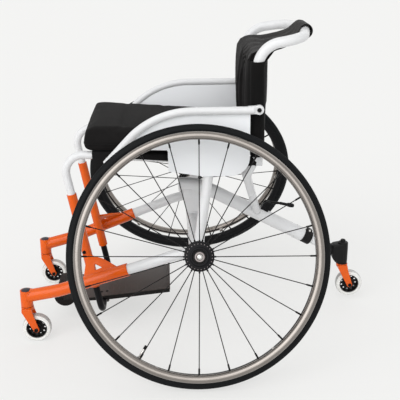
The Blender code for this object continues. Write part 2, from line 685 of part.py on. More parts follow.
def rear_housing(tube_end, along):
    """The rear caster's housing: a tapered barrel with a wide ear that takes the sliding tube."""
    foot = REAR_FORK_TOP + 0.001
    holder = empty_at("rear_housing_place", (REAR_STEM_X, 0, foot))
    profile = [
        (0, 0.0690), (0.0060, 0.0685), (0.0070, 0.0670), (0.0070, 0.0625), (0.0125, 0.0620), (0.0142, 0.0600),
        (0.0138, 0.0), (0, 0.0),
    ]
    housing = turned("rear_caster_housing", profile, 16, BLACK_PLASTIC, closed=False, parent=holder)
    wide = [(0.3890, 0.1740), (0.3840, 0.1680), (0.3850, 0.1375), (0.3960, 0.1215), (0.4100, 0.1215), (0.4100, 0.1775)]
    join(housing, plate("housing_ear", wide, 0.032, 0.0))
    sleeve_bore = rod("sleeve_bore", tube_end - along * 0.03, tube_end + along * 0.0005, ANTI_TIP_RADIUS + GAP)
    cut(housing, sleeve_bore)
    base = Vector((REAR_STEM_X, 0, foot))
    cut(housing, rod("rear_bearing_bore", base - Vector((0, 0, 0.005)), base + Vector((0, 0, 0.0105)), 0.0108))
    top = base + Vector((0, 0, STEM_LENGTH + 0.001))
    cut(housing, rod("rear_stem_bore", base, top, STEM_RADIUS + 0.0005, sides=12))


def lever(pivot):
    """The quick-release lever: a pivot boss on its pin, a slim arm and a bulb at its end."""
    place = empty_at("lever_pivot", pivot)
    tip = pivot + Vector((0.0665, 0, -0.0110))
    neck = pivot + Vector((0.030, 0, -0.0030))
    path = filleted([pivot, neck, tip], (0.06,), 2)
    handle = bent_tube("quick_release_lever", path, 0.0032, BLACK_PLASTIC, 2)
    half = Vector((0, 0.0040, 0))
    join(handle, rod("lever_boss", pivot - half, pivot + half, 0.0048, sides=12))
    reach = Vector((0, 0.0095, 0))
    join(handle, rod("lever_pin", pivot - reach, pivot + reach, 0.0022, sides=12))
    bulb_start = tip - Vector((0.013, 0, -0.0032))
    join(handle, rod("lever_bulb", bulb_start, tip + Vector((0.0025, 0, -0.0006)), 0.0048, sides=10))
    handle.parent = place
    handle.matrix_parent_inverse = Matrix.Translation(-pivot)


def back_frame():
    """The two back posts and the bowed push bar: one bent tube."""
    near = [(POST_X, -RAIL_REAR_Y, POST_FOOT), (BAR_CORNER[0], -RAIL_REAR_Y, BAR_CORNER[1])]
    near.append((BAR_SIDE[0], -RAIL_REAR_Y, BAR_SIDE[1]))
    corners = near + [(BAR_MIDDLE[0], 0, BAR_MIDDLE[1])] + [(x, -y, z) for x, y, z in reversed(near)]
    points = filleted(corners, (POST_BEND, BAR_BEND, BAR_BOW, BAR_BEND, POST_BEND), 4)
    frame = bent_tube("back_frame", points, POST_RADIUS, WHITE, 3)
    cut(frame, rail_cutter(-1, "left_post_cope"), rail_cutter(1, "right_post_cope"))


# Side guards


def side_guard(side, label):
    """The splash guard: a plate with a round rim along its top and front, and a bolted lug."""
    path = filleted([Vector((x, side * GUARD_RIM_Y, z)) for x, z in GUARD_RIM_CORNERS], (GUARD_BEND,), 6)
    outline = [(0.130, path[0].z)] + [(point.x, point.z) for point in path[1:-1]]
    outline += [(-0.182, 0.5045), (-0.067, 0.500), (-0.066, 0.447)]
    outline += [(0.020, 0.433), (0.070, 0.4330)] + arc((0.086, 0.4775), 0.044, 270, 360, 4)[1:]
    guard = plate(label + "_side_guard", outline, GUARD_THICKNESS, side * GUARD_Y, WHITE)
    join(guard, bent_tube(label + "_guard_rim", path, GUARD_RIM_RADIUS, None, 2))
    lug = Vector((GUARD_LUG[0], side * GUARD_RIM_Y, GUARD_LUG[1]))
    half = Vector((0, 0.006, 0))
    join(guard, rod(label + "_lug", lug - half, lug + half, GUARD_LUG_RADIUS))
    neck = block(label + "_lug_neck", lug - Vector((0.011, 0, 0)), (0.022, 0.012, 0.0170))
    join(guard, neck)
    cut(guard, rod(label + "_bolt_hole", lug - half * 2, lug + half * 2, 0.0036, sides=12))
    place = empty_at(label + "_bolt_place", lug, (-side * pi / 2, 0, 0))
    bolt = [
        (0, 0.0095), (0.0036, 0.0095), (0.0052, 0.0080), (0.0052, 0.0064), (0.0032, 0.0064),
        (0.0032, -0.0100), (0, -0.0100),
    ]
    turned(label + "_guard_bolt", bolt, 12, BLACK_METAL, closed=False, parent=place)


# Footrest


def footplate_z(x):
    """The height of the footplate's underside."""
    at_tube = HANGER_CROSS_Z + HANGER_RADIUS + GAP
    return at_tube + FOOTPLATE_SLOPE * (x - socket_x(HANGER_CROSS_Z))


def footrest():
    """The telescoping hanger and the plate that it carries."""
    cross_x = socket_x(HANGER_CROSS_Z)
    corners = [(socket_x(HANGER_TOP), -SOCKET_Y, HANGER_TOP), (cross_x, -SOCKET_Y, HANGER_CROSS_Z)]
    corners += [(x, -y, z) for x, y, z in reversed(corners)]
    bent_tube("footrest_hanger", filleted(corners, (0.024, 0.024), 5), HANGER_RADIUS, BLACK_METAL, 3)
    rear = FOOTPLATE_REAR_X
    nose = FOOTPLATE_NOSE_X
    thick = FOOTPLATE_THICKNESS
    outline = [(rear, footplate_z(rear)), (rear, footplate_z(rear) + 0.014), (rear - 0.004, footplate_z(rear) + 0.014)]
    outline += [(rear - 0.004, footplate_z(rear - 0.004) + thick), (nose, footplate_z(nose) + thick)]
    outline += [(nose - 0.014, NOSE_HEIGHT - 0.006), (nose - 0.025, NOSE_HEIGHT - 0.002)]
    outline += arc((nose, NOSE_HEIGHT), NOSE_RADIUS, 190, 300, 7)
    outline += [(nose + 0.026, footplate_z(nose + 0.026))]
    foot = plate("footplate", outline, 2 * FOOTPLATE_HALF_WIDTH, 0.0, GREY_PLASTIC)
    for hand in (-1, 1):
        bracket = block("foot_clamp_%d" % hand, (cross_x, hand * 0.055, 0.0585), (0.026, 0.016, 0.024))
        join(foot, bracket)
    reach = Vector((0, FOOTPLATE_HALF_WIDTH + 0.005, 0))
    middle = Vector((cross_x, 0, HANGER_CROSS_Z))
    cut(foot, rod("hanger_channel", middle - reach, middle + reach, HANGER_RADIUS + GAP, sides=16))


# Soft parts


def sling_top(x):
    return rail_z(x) + RAIL_RADIUS + 0.0005 + SLING_THICKNESS


def cushion():
    """The seat cushion: a crowned top, round sides drawn in at the seams, three cross channels."""
    columns, rows, layers = 12, 8, 3
    length = CUSHION_REAR - CUSHION_FRONT
    bpy.ops.mesh.primitive_cube_add(size=1)
    obj = bpy.context.object
    obj.name = "seat_cushion"
    work = bmesh.new()
    bmesh.ops.create_grid(work, x_segments=columns, y_segments=rows, size=0.5)
    grown = bmesh.ops.extrude_face_region(work, geom=list(work.faces))
    lifted = [part for part in grown["geom"] if isinstance(part, bmesh.types.BMVert)]
    bmesh.ops.translate(work, verts=lifted, vec=(0, 0, 1))
    walls = [edge for edge in work.edges if abs(edge.verts[0].co.z - edge.verts[1].co.z) > 0.5]
    bmesh.ops.subdivide_edges(work, edges=walls, cuts=layers, use_grid_fill=False)
    bmesh.ops.recalc_face_normals(work, faces=work.faces)
    for vert in work.verts:
        u, v, w = vert.co.x + 0.5, vert.co.y * 2, vert.co.z
        x = CUSHION_FRONT + u * length
        edge = max(abs(v), abs(2 * u - 1))
        drawn = 0.016 * max(0.0, 1 - w / 0.4) ** 2 + 0.005 * max(0.0, (w - 0.4) / 0.6) ** 2
        crown = 0.0045 * (1 - v * v) * (1 - (2 * u - 1) ** 4)
        channel = 0.0030 * sum(max(0.0, 1 - abs(u - place) / 0.05) for place in (0.25, 0.5, 0.75))
        thickness = CUSHION_THICKNESS - 0.010 * u
        top = thickness + crown - (channel if edge < 0.99 else 0.0)
        y = v * (CUSHION_HALF_WIDTH - (drawn * 0.5 if abs(v) > 0.99 else 0.0))
        x += drawn * (1 if u < 0.01 else 0) - drawn * 0.4 * (1 if u > 0.99 else 0)
        floor = sling_top(x) + 0.0006
        vert.co = (x, y, floor + w * top)
    work.to_mesh(obj.data)
    work.free()
    obj.data.shade_smooth()
    keep(obj, FABRIC)


def sling():
    """The fabric under the cushion, with hems folded down over both rails."""
    stations = [SLING_FRONT, -0.225, -0.190, -0.10, 0.0, SLING_REAR]
    drops = [0.060, 0.056, 0.015, 0.016, 0.018, 0.018]
    mesh = bpy.data.meshes.new("seat_sling")
    work = bmesh.new()
    rings = []
    for x, drop in zip(stations, drops):
        outer = rail_y(x) + RAIL_RADIUS + 0.0006 + SLING_THICKNESS
        inner = outer - SLING_THICKNESS
        top = sling_top(x)
        under = top - SLING_THICKNESS
        over = [(0, top), (inner - 0.004, top), (outer, top - 0.0045), (outer, top - drop)]
        lining = [(0, under), (inner - 0.004, under), (inner, under), (inner, top - drop)]
        over = [(-y, z) for y, z in reversed(over[1:])] + over
        lining = [(-y, z) for y, z in reversed(lining[1:])] + lining
        rings.append([work.verts.new((x, y, z)) for y, z in over + lining[::-1]])
    count = len(rings[0])
    for ring in (rings[0], rings[-1]):
        for index in range(count // 2 - 1):
            work.faces.new((ring[index], ring[index + 1], ring[count - 2 - index], ring[count - 1 - index]))
    for first, second in zip(rings, rings[1:]):
        for index in range(count):
            after = (index + 1) % count
            work.faces.new((first[index], second[index], second[after], first[after]))
    bmesh.ops.recalc_face_normals(work, faces=work.faces)
    work.to_mesh(mesh)
    work.free()
    fabric = keep(bpy.data.objects.new("seat_sling", mesh), FABRIC)
    for side in (-1, 1):
        foot, head = strut_ends(side)
        cut(fabric, rod("sling_notch_%d" % side, foot, head, AXLE_STRUT_RADIUS + 0.0015))


def back_sag(v, t):
    """How far the back's middle hangs rearwards, with its upright folds; t is 1 at the top."""
    hollow = 0.020 * (1 - v * v) * (0.6 + 0.4 * sin(pi * min(1.0, t)))
    fold = 0.0016 * cos(5 * pi * v) * (1 - v * v) * (1 - t)
    return hollow + fold


def back_ring(height, columns):
    """One level of the bag: front layer, round the right post, rear layer, round the left post."""
    t = (height - BACK_HEM) / (BACK_TOP - BACK_HEM)
    front_x = 0.1215 + 0.0125 * (1 - t) ** 2.5 + 0.005 * t**6
    rear_x = 0.1668 + 0.0060 * t
    rear_share = 0.75 * min(1.0, max(0.0, (t - 0.42) / 0.12))
    steps = [2 * index / columns - 1 for index in range(columns + 1)]
    front = [Vector((front_x + back_sag(v, t), v * BACK_HALF_WIDTH, height)) for v in steps]
    rear = [Vector((rear_x + rear_share * back_sag(v, t), v * BACK_HALF_WIDTH, height)) for v in reversed(steps)]
    turns = [radians(-110 + 220 * index / 6) for index in range(7)]
    post_x = POST_X + (BAR_CORNER[0] - POST_X) * (height - POST_FOOT) / (BAR_CORNER[1] - POST_FOOT)
    past_bend = max(0.0, height - (BAR_CORNER[1] - 0.855 * POST_BEND))
    post_x += POST_BEND - sqrt(POST_BEND**2 - past_bend**2)
    right = [(post_x + SLEEVE_RADIUS * sin(a), RAIL_REAR_Y + SLEEVE_RADIUS * cos(a)) for a in turns]
    round_right = [Vector((x, y, height)) for x, y in right]
    round_left = [Vector((x, -y, height)) for x, y in reversed(right)]
    ring = front + round_right + rear + round_left
    for point in ring:
        middle = max(0.0, 1 - (point.y / BACK_HALF_WIDTH) ** 2)
        point.z -= 0.016 * middle * (1 - t) ** 2
    return ring


def back_flap(columns):
    """The rows over the top, round the rear bar and back under, each with its half width."""
    path = [(0.1350, 0.7190, 0.139), (0.1500, 0.7258, 0.139), (0.1680, 0.7280, 0.139), (0.1880, 0.7275, 0.137)]
    path += [(0.2120, 0.7310, 0.122), (0.2350, 0.7390, 0.090), (0.2530, 0.7520, 0.052)]
    for angle in (150, 105, 60, 15, -30, -75, -120):
        x = WRAP_CENTRE[0] + WRAP_RADIUS * cos(radians(angle))
        z = WRAP_CENTRE[1] + WRAP_RADIUS * sin(radians(angle))
        path.append((x, z, WRAP_HALF_WIDTH))
    path += [(0.2530, 0.7415, 0.046), (0.2350, 0.7325, 0.074), (0.2120, 0.7250, 0.106), (0.1900, 0.7220, 0.130)]
    rows = []
    for index, (x, z, half) in enumerate(path):
        hang = max(0.0, 1 - abs(index - 2.5) / 4) + max(0.0, 1 - abs(index - 17) / 3)
        near_top = max(0.0, 1 - index / 3) if index < 8 else max(0.0, (index - 15) / 3)
        row = []
        for column in range(columns + 1):
            v = 2 * column / columns - 1
            middle = 1 - v * v
            row.append(Vector((x + 0.012 * middle * near_top, v * half, z - 0.006 * middle * hang)))
        rows.append(row)
    return rows


def back_upholstery():
    """The back: a bag over the two posts, with a flap that goes round the rear bar and back."""
    columns, levels = 10, 8
    work = bmesh.new()
    rings = []
    for level in range(levels + 1):
        height = BACK_HEM + (BACK_TOP - BACK_HEM) * level / levels
        rings.append([work.verts.new(point) for point in back_ring(height, columns)])
    for below, above in zip(rings, rings[1:]):
        for index in range(len(below)):
            after = (index + 1) % len(below)
            work.faces.new((below[index], below[after], above[after], above[index]))
    front = rings[-1][:columns + 1]
    rear_start = columns + 8
    rear = list(reversed(rings[-1][rear_start:rear_start + columns + 1]))
    rows = [front] + [[work.verts.new(point) for point in row] for row in back_flap(columns)] + [rear]
    for below, above in zip(rows, rows[1:]):
        for column in range(columns):
            work.faces.new((below[column], below[column + 1], above[column + 1], above[column]))
    bmesh.ops.recalc_face_normals(work, faces=work.faces)
    mesh = bpy.data.meshes.new("back_upholstery")
    work.to_mesh(mesh)
    work.free()
    mesh.shade_smooth()
    fabric = keep(bpy.data.objects.new("back_upholstery", mesh), FABRIC)
    shell = fabric.modifiers.new("cloth", "SOLIDIFY")
    shell.thickness = BACK_THICKNESS
    shell.offset = 0.0


for leftover in list(bpy.data.objects):
    bpy.data.objects.remove(leftover)
chair = collection_named("tennis_wheelchair")
helpers = collection_named("cutters")

for side, label in ((-1, "left"), (1, "right")):
    main_wheel(side, label)
    caster(label + "_caster", FRONT_STEM[0], side * FRONT_STEM[1], FRONT_FORK_TOP)
    caster_arm(side, label)
    frame_side(side, label)
    side_guard(side, label)
caster("rear_caster", REAR_STEM_X, 0.0, REAR_FORK_TOP)
camber_tube()
rear_beam()
anti_tip()
back_frame()
footrest()
cushion()
sling()
back_upholstery()

# The origin is the middle of the whole chair's length.
for obj in bpy.data.objects:
    if obj.parent is None:
        obj.location.x += ORIGIN_SHIFT
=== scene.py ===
# Tennis wheelchair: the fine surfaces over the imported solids, a pale studio and the camera.
import bpy
import bmesh
from math import atan2, cos, exp, pi, radians, sin, sqrt, tan
from mathutils import Matrix, Vector
from mathutils.bvhtree import BVHTree


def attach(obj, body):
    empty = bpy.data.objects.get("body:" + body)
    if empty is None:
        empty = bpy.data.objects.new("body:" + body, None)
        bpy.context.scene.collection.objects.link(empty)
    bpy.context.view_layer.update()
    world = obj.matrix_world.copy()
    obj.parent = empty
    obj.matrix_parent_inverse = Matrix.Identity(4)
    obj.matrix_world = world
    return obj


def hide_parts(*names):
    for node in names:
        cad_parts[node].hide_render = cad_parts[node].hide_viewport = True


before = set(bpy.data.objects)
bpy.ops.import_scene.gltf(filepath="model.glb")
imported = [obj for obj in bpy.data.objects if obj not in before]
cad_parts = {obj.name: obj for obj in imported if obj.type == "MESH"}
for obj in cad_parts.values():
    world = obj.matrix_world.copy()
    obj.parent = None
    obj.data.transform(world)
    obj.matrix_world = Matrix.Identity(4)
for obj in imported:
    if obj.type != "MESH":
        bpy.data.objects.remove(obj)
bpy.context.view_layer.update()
print("solids loaded:", len(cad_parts))

# Sizes are in metres, and outlines inside mm() in millimetres.
# All places are measured from the main axle's middle, on the floor, as on a drawing.
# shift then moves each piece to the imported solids' origin.
layout = {
    "shift": -0.01025,
    "camber": radians(20),
    "halfTrack": 0.330,
    "tyreRadius": 0.305,
    "tyreSection": 0.012,
    "socketY": 0.140,
    "socketTop": (-0.307, 0.3815),
    "socketLean": 0.1904,
    "railFront": (-0.3266, 0.4846),
    "railRear": (0.138, 0.4615),
    "railRearY": 0.158,
    "beamFront": (-0.040, 0.3565),
    "beamBend": (0.012, 0.3565),
    "beamRear": (0.297, 0.2045),
    "frontStem": (-0.4315, 0.175),
    "rearStemX": 0.410,
    "frontForkTop": 0.0965,
    "rearForkTop": 0.118,
    "trail": 0.021,
    "forkHeight": 0.060,
}
camber = layout["camber"]
wheelHeight = (layout["tyreRadius"] - layout["tyreSection"]) * cos(camber) + layout["tyreSection"]
sides = (("left", -1), ("right", 1))


def mm(*points):
    return [tuple(value / 1000 for value in point) for point in points]


def at(x, y, z):
    return Matrix.Translation((x, y, z))


def about(axis, angle):
    return Matrix.Rotation(angle, 4, axis)


def shifted(place=None):
    return at(layout["shift"], 0, 0) @ (place or Matrix.Identity(4))


def wheelPlace(side):
    # The wheel's own frame: its middle, and its axle outward along Z.
    return at(0, side * layout["halfTrack"], wheelHeight) @ about("X", -side * (pi / 2 - camber))


def casterPlace(x, y, top):
    return at(x + layout["trail"], y, top - layout["forkHeight"]) @ about("X", pi / 2)


# Shader sockets as numbers


class Wire:
    def __init__(self, nodes, socket):
        self.nodes, self.socket = nodes, socket

    def out(self, name):
        return Wire(self.nodes, self.socket.node.outputs[name])

    def calc(self, operation, *values):
        return self.nodes.add("ShaderNodeMath", {"operation": operation}, dict(enumerate(values)))

    def __add__(self, other):
        return self.calc("ADD", self, other)

    def __sub__(self, other):
        return self.calc("SUBTRACT", self, other)

    def __rsub__(self, other):
        return self.calc("SUBTRACT", other, self)

    def __mul__(self, other):
        return self.calc("MULTIPLY", self, other)

    def __truediv__(self, other):
        return self.calc("DIVIDE", self, other)

    def __rtruediv__(self, other):
        return self.calc("DIVIDE", other, self)

    def __pow__(self, other):
        return self.calc("POWER", self, other)

    def __rpow__(self, other):
        return self.calc("POWER", other, self)

    __radd__ = __add__
    __rmul__ = __mul__

    def sine(self):
        return self.calc("SINE", self)

    def size(self):
        return self.calc("ABSOLUTE", self)

    def clamped(self):
        return self.nodes.add("ShaderNodeClamp", {}, {0: self})

    def ramp(self, low, high):
        return ((self - low) / (high - low)).clamped()


class Nodes:
    def __init__(self, tree):
        self.tree = tree

    def feed(self, socket, value):
        if isinstance(value, Wire):
            self.tree.links.new(value.socket, socket)
        else:
            socket.default_value = value

    def add(self, kind, settings=None, inputs=None):
        node = self.tree.nodes.new(kind)
        for key, value in (settings or {}).items():
            setattr(node, key, value)
        for key, value in (inputs or {}).items():
            self.feed(node.inputs[key], value)
        return Wire(self, node.outputs[0]) if node.outputs else None

    def seen(self):
        # 1 for what the camera sees: straight on, in a gloss or through glass.
        ray = self.add("ShaderNodeLightPath")
        rays = ray.out("Is Camera Ray") + ray.out("Is Glossy Ray") + ray.out("Is Transmission Ray")
        return rays.clamped()


class Finish(Nodes):
    def __init__(self, name, colour, roughness, metallic=0.0, **others):
        self.material = bpy.data.materials.new(name)
        self.material.use_nodes = True
        super().__init__(self.material.node_tree)
        self.shader = self.tree.nodes["Principled BSDF"]
        self.material.diffuse_color = (*colour, 1)
        self.set("Base Color", (*colour, 1))
        self.set("Roughness", roughness)
        self.set("Metallic", metallic)
        for key, value in others.items():
            self.set(key.replace("_", " "), value)

    def set(self, name, value):
        self.feed(self.shader.inputs[name], value)

    def vector(self, operation, first, second):
        return self.add("ShaderNodeVectorMath", {"operation": operation}, {0: first, 1: second})

    def point(self):
        return self.add("ShaderNodeTexCoord").out("Object")

    def axes(self, place=None):
        # With a place, the axes are those of a piece turned and moved by it.
        point = self.point()
        if place:
            away = self.vector("SUBTRACT", point, place.translation)
            ways = [place.to_3x3().col[column].normalized() for column in range(3)]
            return [self.vector("DOT_PRODUCT", away, way).out("Value") for way in ways]
        split = self.add("ShaderNodeSeparateXYZ", {}, {0: point})
        return [split.out(axis) for axis in "XYZ"]

    def noise(self, scale, detail=3.0, stretch=None):
        place = self.point()
        if stretch:
            place = self.vector("MULTIPLY", place, stretch)
        inputs = {"Vector": place, "Scale": scale, "Detail": detail}
        return self.add("ShaderNodeTexNoise", {}, inputs)

    def blend(self, factor, first, second):
        first, second = (c if isinstance(c, Wire) else (*c, 1) for c in (first, second))
        mix = self.add("ShaderNodeMix", {"data_type": "RGBA"}, {0: factor, 6: first, 7: second})
        return mix.out(2)

    def bump(self, height, distance, strength=1.0):
        inputs = {"Height": height, "Distance": distance, "Strength": strength}
        self.set("Normal", self.add("ShaderNodeBump", {}, inputs))


# Finishes


def tinted(colour, times, plus=0.0):
    return tuple(min(1, c * times + plus) for c in colour)


def paint(name, colour, deep, roughness):
    # Powder coat: faint orange peel, a little dust, the deeper tone in soft clouds.
    coat = {"Coat_Weight": 0.20, "Coat_Roughness": 0.08, "Specular_IOR_Level": 0.25}
    f = Finish(name, colour, roughness, **coat)
    cloud = f.noise(9, 2).ramp(0.35, 0.75)
    f.set("Base Color", f.blend(cloud * 0.5, colour, deep))
    dust = f.noise(160, 4).ramp(0.60, 0.85)
    f.set("Roughness", roughness + dust * 0.06 + cloud * 0.04)
    f.bump(f.noise(620, 2) * 0.6 + f.noise(2400, 1) * 0.4, 0.00003, 0.3)
    return f.material


def anodised(name, colour, roughness):
    f = Finish(name, colour, roughness, 0.55, Specular_IOR_Level=0.2)
    worn = f.noise(55, 5).ramp(0.60, 0.85)
    f.set("Base Color", f.blend(worn * 0.5, colour, tinted(colour, 2.2, 0.004)))
    f.set("Roughness", roughness + f.noise(900, 2) * 0.12 + worn * 0.08)
    f.bump(f.noise(3200, 1), 0.00002, 0.4)
    return f.material


def metal(name, colour, roughness, stretch, grain):
    # Brushed metal: fine scratches drawn out along one way, and a soft stain.
    f = Finish(name, colour, roughness, 1.0)
    scratch = f.noise(grain, 3, stretch)
    stain = f.noise(24, 3).ramp(0.35, 0.80)
    f.set("Base Color", f.blend(stain * 0.6 + scratch * 0.25, colour, tinted(colour, 0.80)))
    f.set("Roughness", roughness + scratch * 0.14 + stain * 0.05)
    f.bump(scratch, 0.00003, 0.4)
    return f.material


tread = {
    "colour": (0.0045, 0.0052, 0.006),
    "dust": (0.030, 0.030, 0.029),
    "crown": (0.2985, 0.3010),  # radii where the wall turns into the tread
    "around": 644.6,  # file lines in one radian
    "across": 2600,
    "ribs": 5200,
}


def tyreRubber(name, place):
    # The tread: a fine crossed file pattern on the crown, smooth walls with a moulded rib.
    f = Finish(name, tread["colour"], 0.62, Specular_IOR_Level=0.12)
    x, y, z = f.axes(place)
    turn = x.calc("ARCTAN2", y, x)
    radius = (x * x + y * y) ** 0.5
    around = turn * tread["around"]
    across = z * tread["across"]
    crossed = (around + across).sine() * (around - across).sine()
    crown = radius.ramp(*tread["crown"])
    dust = f.noise(70, 4).ramp(0.45, 0.80)
    f.set("Base Color", f.blend(crown * dust * 0.30, tread["colour"], tread["dust"]))
    f.set("Roughness", 0.50 + crown * 0.18 + f.noise(400, 3) * 0.10)
    rib = ((radius * tread["ribs"]).sine() * (1 - crown)) * 0.25
    f.bump(crossed.ramp(-0.2, 0.6) * crown + rib + f.noise(1800, 2) * 0.15, 0.00022, 0.7)
    return f.material


roller = {
    "colours": ((0.78, 0.78, 0.76), (0.64, 0.64, 0.61)),
    "dark": (0.085, 0.083, 0.078),
    "bond": (0.0264, 0.0271),  # radii from the axle out, as are those below
    "line": 0.0318,
    "lineWidth": 0.0007,
    "worn": (0.0335, 0.0362),
    # radii of the painted shade that darkens the outer wall
    "wall": (0.0345, 0.0362),
}


def urethane(name, place):
    # Clear polyurethane over a dark core, darker where it is bonded, with a thin grey ring at one radius and
    # wear on the tread; the grey at its outer wall is painted shade.
    f = Finish(name, (0.72, 0.72, 0.69), 0.24, Coat_Weight=0.4, Coat_Roughness=0.10)
    x, y = f.axes(place)[:2]
    radius = (x * x + y * y) ** 0.5
    bond = 1 - radius.ramp(*roller["bond"])
    line = 1 - ((radius - roller["line"]).size() / roller["lineWidth"]).clamped()
    # Painted shade: the outer wall is drawn darker, as if its rounded edge fell into shade.
    wall = radius.ramp(*roller["wall"])
    used = f.noise(130, 4).ramp(0.40, 0.75) * radius.ramp(*roller["worn"])
    clear = f.blend(f.noise(60, 3).ramp(0.3, 0.8), *roller["colours"])
    dark = (bond * 0.95 + line * 0.30 + wall * 0.45 + used * 0.20).clamped()
    f.set("Base Color", f.blend(dark, clear, roller["dark"]))
    f.set("Roughness", 0.26 + used * 0.25 + f.noise(700, 2) * 0.08)
    f.bump(f.noise(900, 3), 0.00008, 0.4)
    return f.material


def plastic(name, colour, roughness, grain=1500, depth=0.00007, scuff=0.5):
    f = Finish(name, colour, roughness, Specular_IOR_Level=0.18)
    rub = f.noise(38, 5).ramp(0.52, 0.80)
    f.set("Base Color", f.blend(rub * scuff, colour, tinted(colour, 1.7, 0.006)))
    f.set("Roughness", roughness + rub * 0.12 + f.noise(420, 2) * 0.06)
    f.bump(f.noise(grain, 2), depth, 0.5)
    return f.material


def cloth(name, colour, pale, pitch, depth, roughness=0.86, sleeve=None):
    # Plain weave: the two thread sets cross on any face, whichever way it looks.
    # Beyond the sleeve line the cloth is a darker, duller one.
    sheen = {"Sheen_Weight": 0.012, "Sheen_Roughness": 0.45, "Specular_IOR_Level": 0.14}
    f = Finish(name, colour, roughness, **sheen)
    x, y, z = f.axes()
    turn = 2 * pi / pitch
    first = ((x + y) * turn).sine()
    second = ((z + x * 0.5 - y * 0.5) * turn).sine()
    weave = first * second
    fuzz = f.noise(900, 4)
    faded = f.noise(18, 3).ramp(0.40, 0.80)
    beyond = y.size().ramp(*sleeve) if sleeve else 0.0
    paler = (weave.ramp(-1, 1) * 0.35 + fuzz * 0.25 + faded * 0.40).clamped()
    woven = f.blend(paler, colour, pale)
    f.set("Base Color", f.blend(beyond * 0.66, woven, (0.0015, 0.0015, 0.0015)))
    f.set("Roughness", roughness + fuzz * 0.10 - weave.ramp(-1, 1) * 0.06 + beyond * 0.25)
    f.bump(weave * 0.6 + fuzz * 0.5, depth, 0.8)
    return f.material


stem, forkTop = layout["frontStem"], layout["frontForkTop"]
rearPlace = casterPlace(layout["rearStemX"], 0, layout["rearForkTop"])
# What makes a finish, the slot of the part that it fills, its name, and what its maker needs.
finishes = (
    (paint, "white_paint", "whitePaint", (0.69, 0.695, 0.70), (0.65, 0.655, 0.665), 0.26),
    # The guard plates get a lighter copy of the white paint: painted light that lifts the shade they stand
    # in.
    (paint, "white_paint", "guardWhite", (0.83, 0.845, 0.86), (0.79, 0.805, 0.825), 0.34),
    (paint, "orange_paint", "orangePaint", (0.69, 0.098, 0.001), (0.57, 0.058, 0.0005), 0.24),
    (anodised, "black_anodised", "blackAlloy", (0.008, 0.008, 0.009), 0.34),
    (anodised, "black_anodised", "blackSteel", (0.011, 0.0105, 0.0105), 0.42),
    (metal, "polished_steel", "polishedSteel", (0.66, 0.64, 0.62), 0.16, (1, 1, 12), 420),
    (metal, "polished_steel", "axleSteel", (0.30, 0.265, 0.26), 0.22, (1, 12, 1), 420),
    (metal, "titanium", "titaniumTube", (0.285, 0.260, 0.240), 0.15, (1, 1, 9), 260),
    (tyreRubber, "black_rubber", "leftTyreRubber", shifted(wheelPlace(-1))),
    (tyreRubber, "black_rubber", "rightTyreRubber", shifted(wheelPlace(1))),
    (urethane, "clear_urethane", "leftUrethane", shifted(casterPlace(stem[0], -stem[1], forkTop))),
    (urethane, "clear_urethane", "rightUrethane", shifted(casterPlace(*stem, forkTop))),
    (urethane, "clear_urethane", "rearUrethane", shifted(rearPlace)),
    (plastic, "black_plastic", "blackPlastic", (0.0042, 0.0040, 0.0039), 0.42),
    (plastic, "grey_plastic", "greyPlastic", (0.062, 0.052, 0.048), 0.42, 700, 0.00012, 0.3),
    (plastic, "grey_plastic", "capPlastic", (0.036, 0.038, 0.046), 0.26),
    (plastic, "black_rubber", "noseRubber", (0.0060, 0.0052, 0.0048), 0.55, 900, 0.00010, 0.3),
    (plastic, "black_fabric", "sewingThread", (0.030, 0.030, 0.031), 0.60, 4000, 0.00005),
    (cloth, "black_fabric", "seatCloth", (0.0050, 0.0045, 0.0045), (0.0125, 0.0112, 0.0112), 0.0016, 0.00020),
    (cloth, "black_fabric", "slingCloth", (0.0048, 0.0045, 0.0045), (0.012, 0.0115, 0.0115), 0.0011, 0.00014),
    (cloth, "black_fabric", "backCloth", (0.0030, 0.0026, 0.0026), (0.0115, 0.0098, 0.0098), 0.0011, 0.00014,
     0.56, (0.142, 0.147)),
)
looks = {name: (make(name, *facts), slot) for make, slot, name, *facts in finishes}
print("finishes made:", len(looks))


# Shapes


def placed(name, data):
    obj = bpy.data.objects.new(name, data)
    bpy.context.scene.collection.objects.link(obj)
    return obj


def meshOf(work, name="shape"):
    bmesh.ops.recalc_face_normals(work, faces=work.faces)
    mesh = bpy.data.meshes.new(name)
    work.to_mesh(mesh)
    work.free()
    return mesh


def turns(count, first=0.0):
    # Equal steps round a full turn.
    return [first + 2 * pi * step / count for step in range(count)]


def bothEnds(half):
    # A profile and its mirror image below.
    return half + [(radius, -height) for radius, height in reversed(half)]


def moved(outline, x, y):
    return [(x + a, y + b) for a, b in outline]


def softened(points, radius, closed=False, cuts=3):
    # Each corner of a line becomes a small curve.
    count = len(points)
    made = []
    for index, point in enumerate(points):
        if not closed and index in (0, count - 1):
            made.append(tuple(point))
            continue
        corner = Vector(point)
        before = Vector(points[index - 1]) - corner
        after = Vector(points[(index + 1) % count]) - corner
        start = corner + before * min(radius / max(before.length, 1e-9), 0.45)
        end = corner + after * min(radius / max(after.length, 1e-9), 0.45)
        for step in range(cuts + 1):
            t = step / cuts
            made.append(tuple(start * (1 - t) ** 2 + corner * 2 * t * (1 - t) + end * t * t))
    return made


def lathe(profile, steps=64, closed=False, soft=0.0, cuts=3):
    # (radius, height) pairs, swept about Z, with their corners softened first.
    if soft:
        profile = softened(profile, soft, closed, cuts)
    work = bmesh.new()
    rings = []
    for radius, height in profile:
        if radius < 1e-6:
            rings.append([work.verts.new((0, 0, height))])
        else:
            ring = [(radius * cos(t), radius * sin(t), height) for t in turns(steps)]
            rings.append([work.verts.new(point) for point in ring])
    pairs = list(zip(rings, rings[1:]))
    if closed:
        pairs.append((rings[-1], rings[0]))
    for below, above in pairs:
        for step in range(steps):
            after = (step + 1) % steps
            spots = ((below, step), (below, after), (above, after), (above, step))
            corners = list(dict.fromkeys(ring[k % len(ring)] for ring, k in spots))
            if len(corners) > 2:
                work.faces.new(corners)
    return meshOf(work)


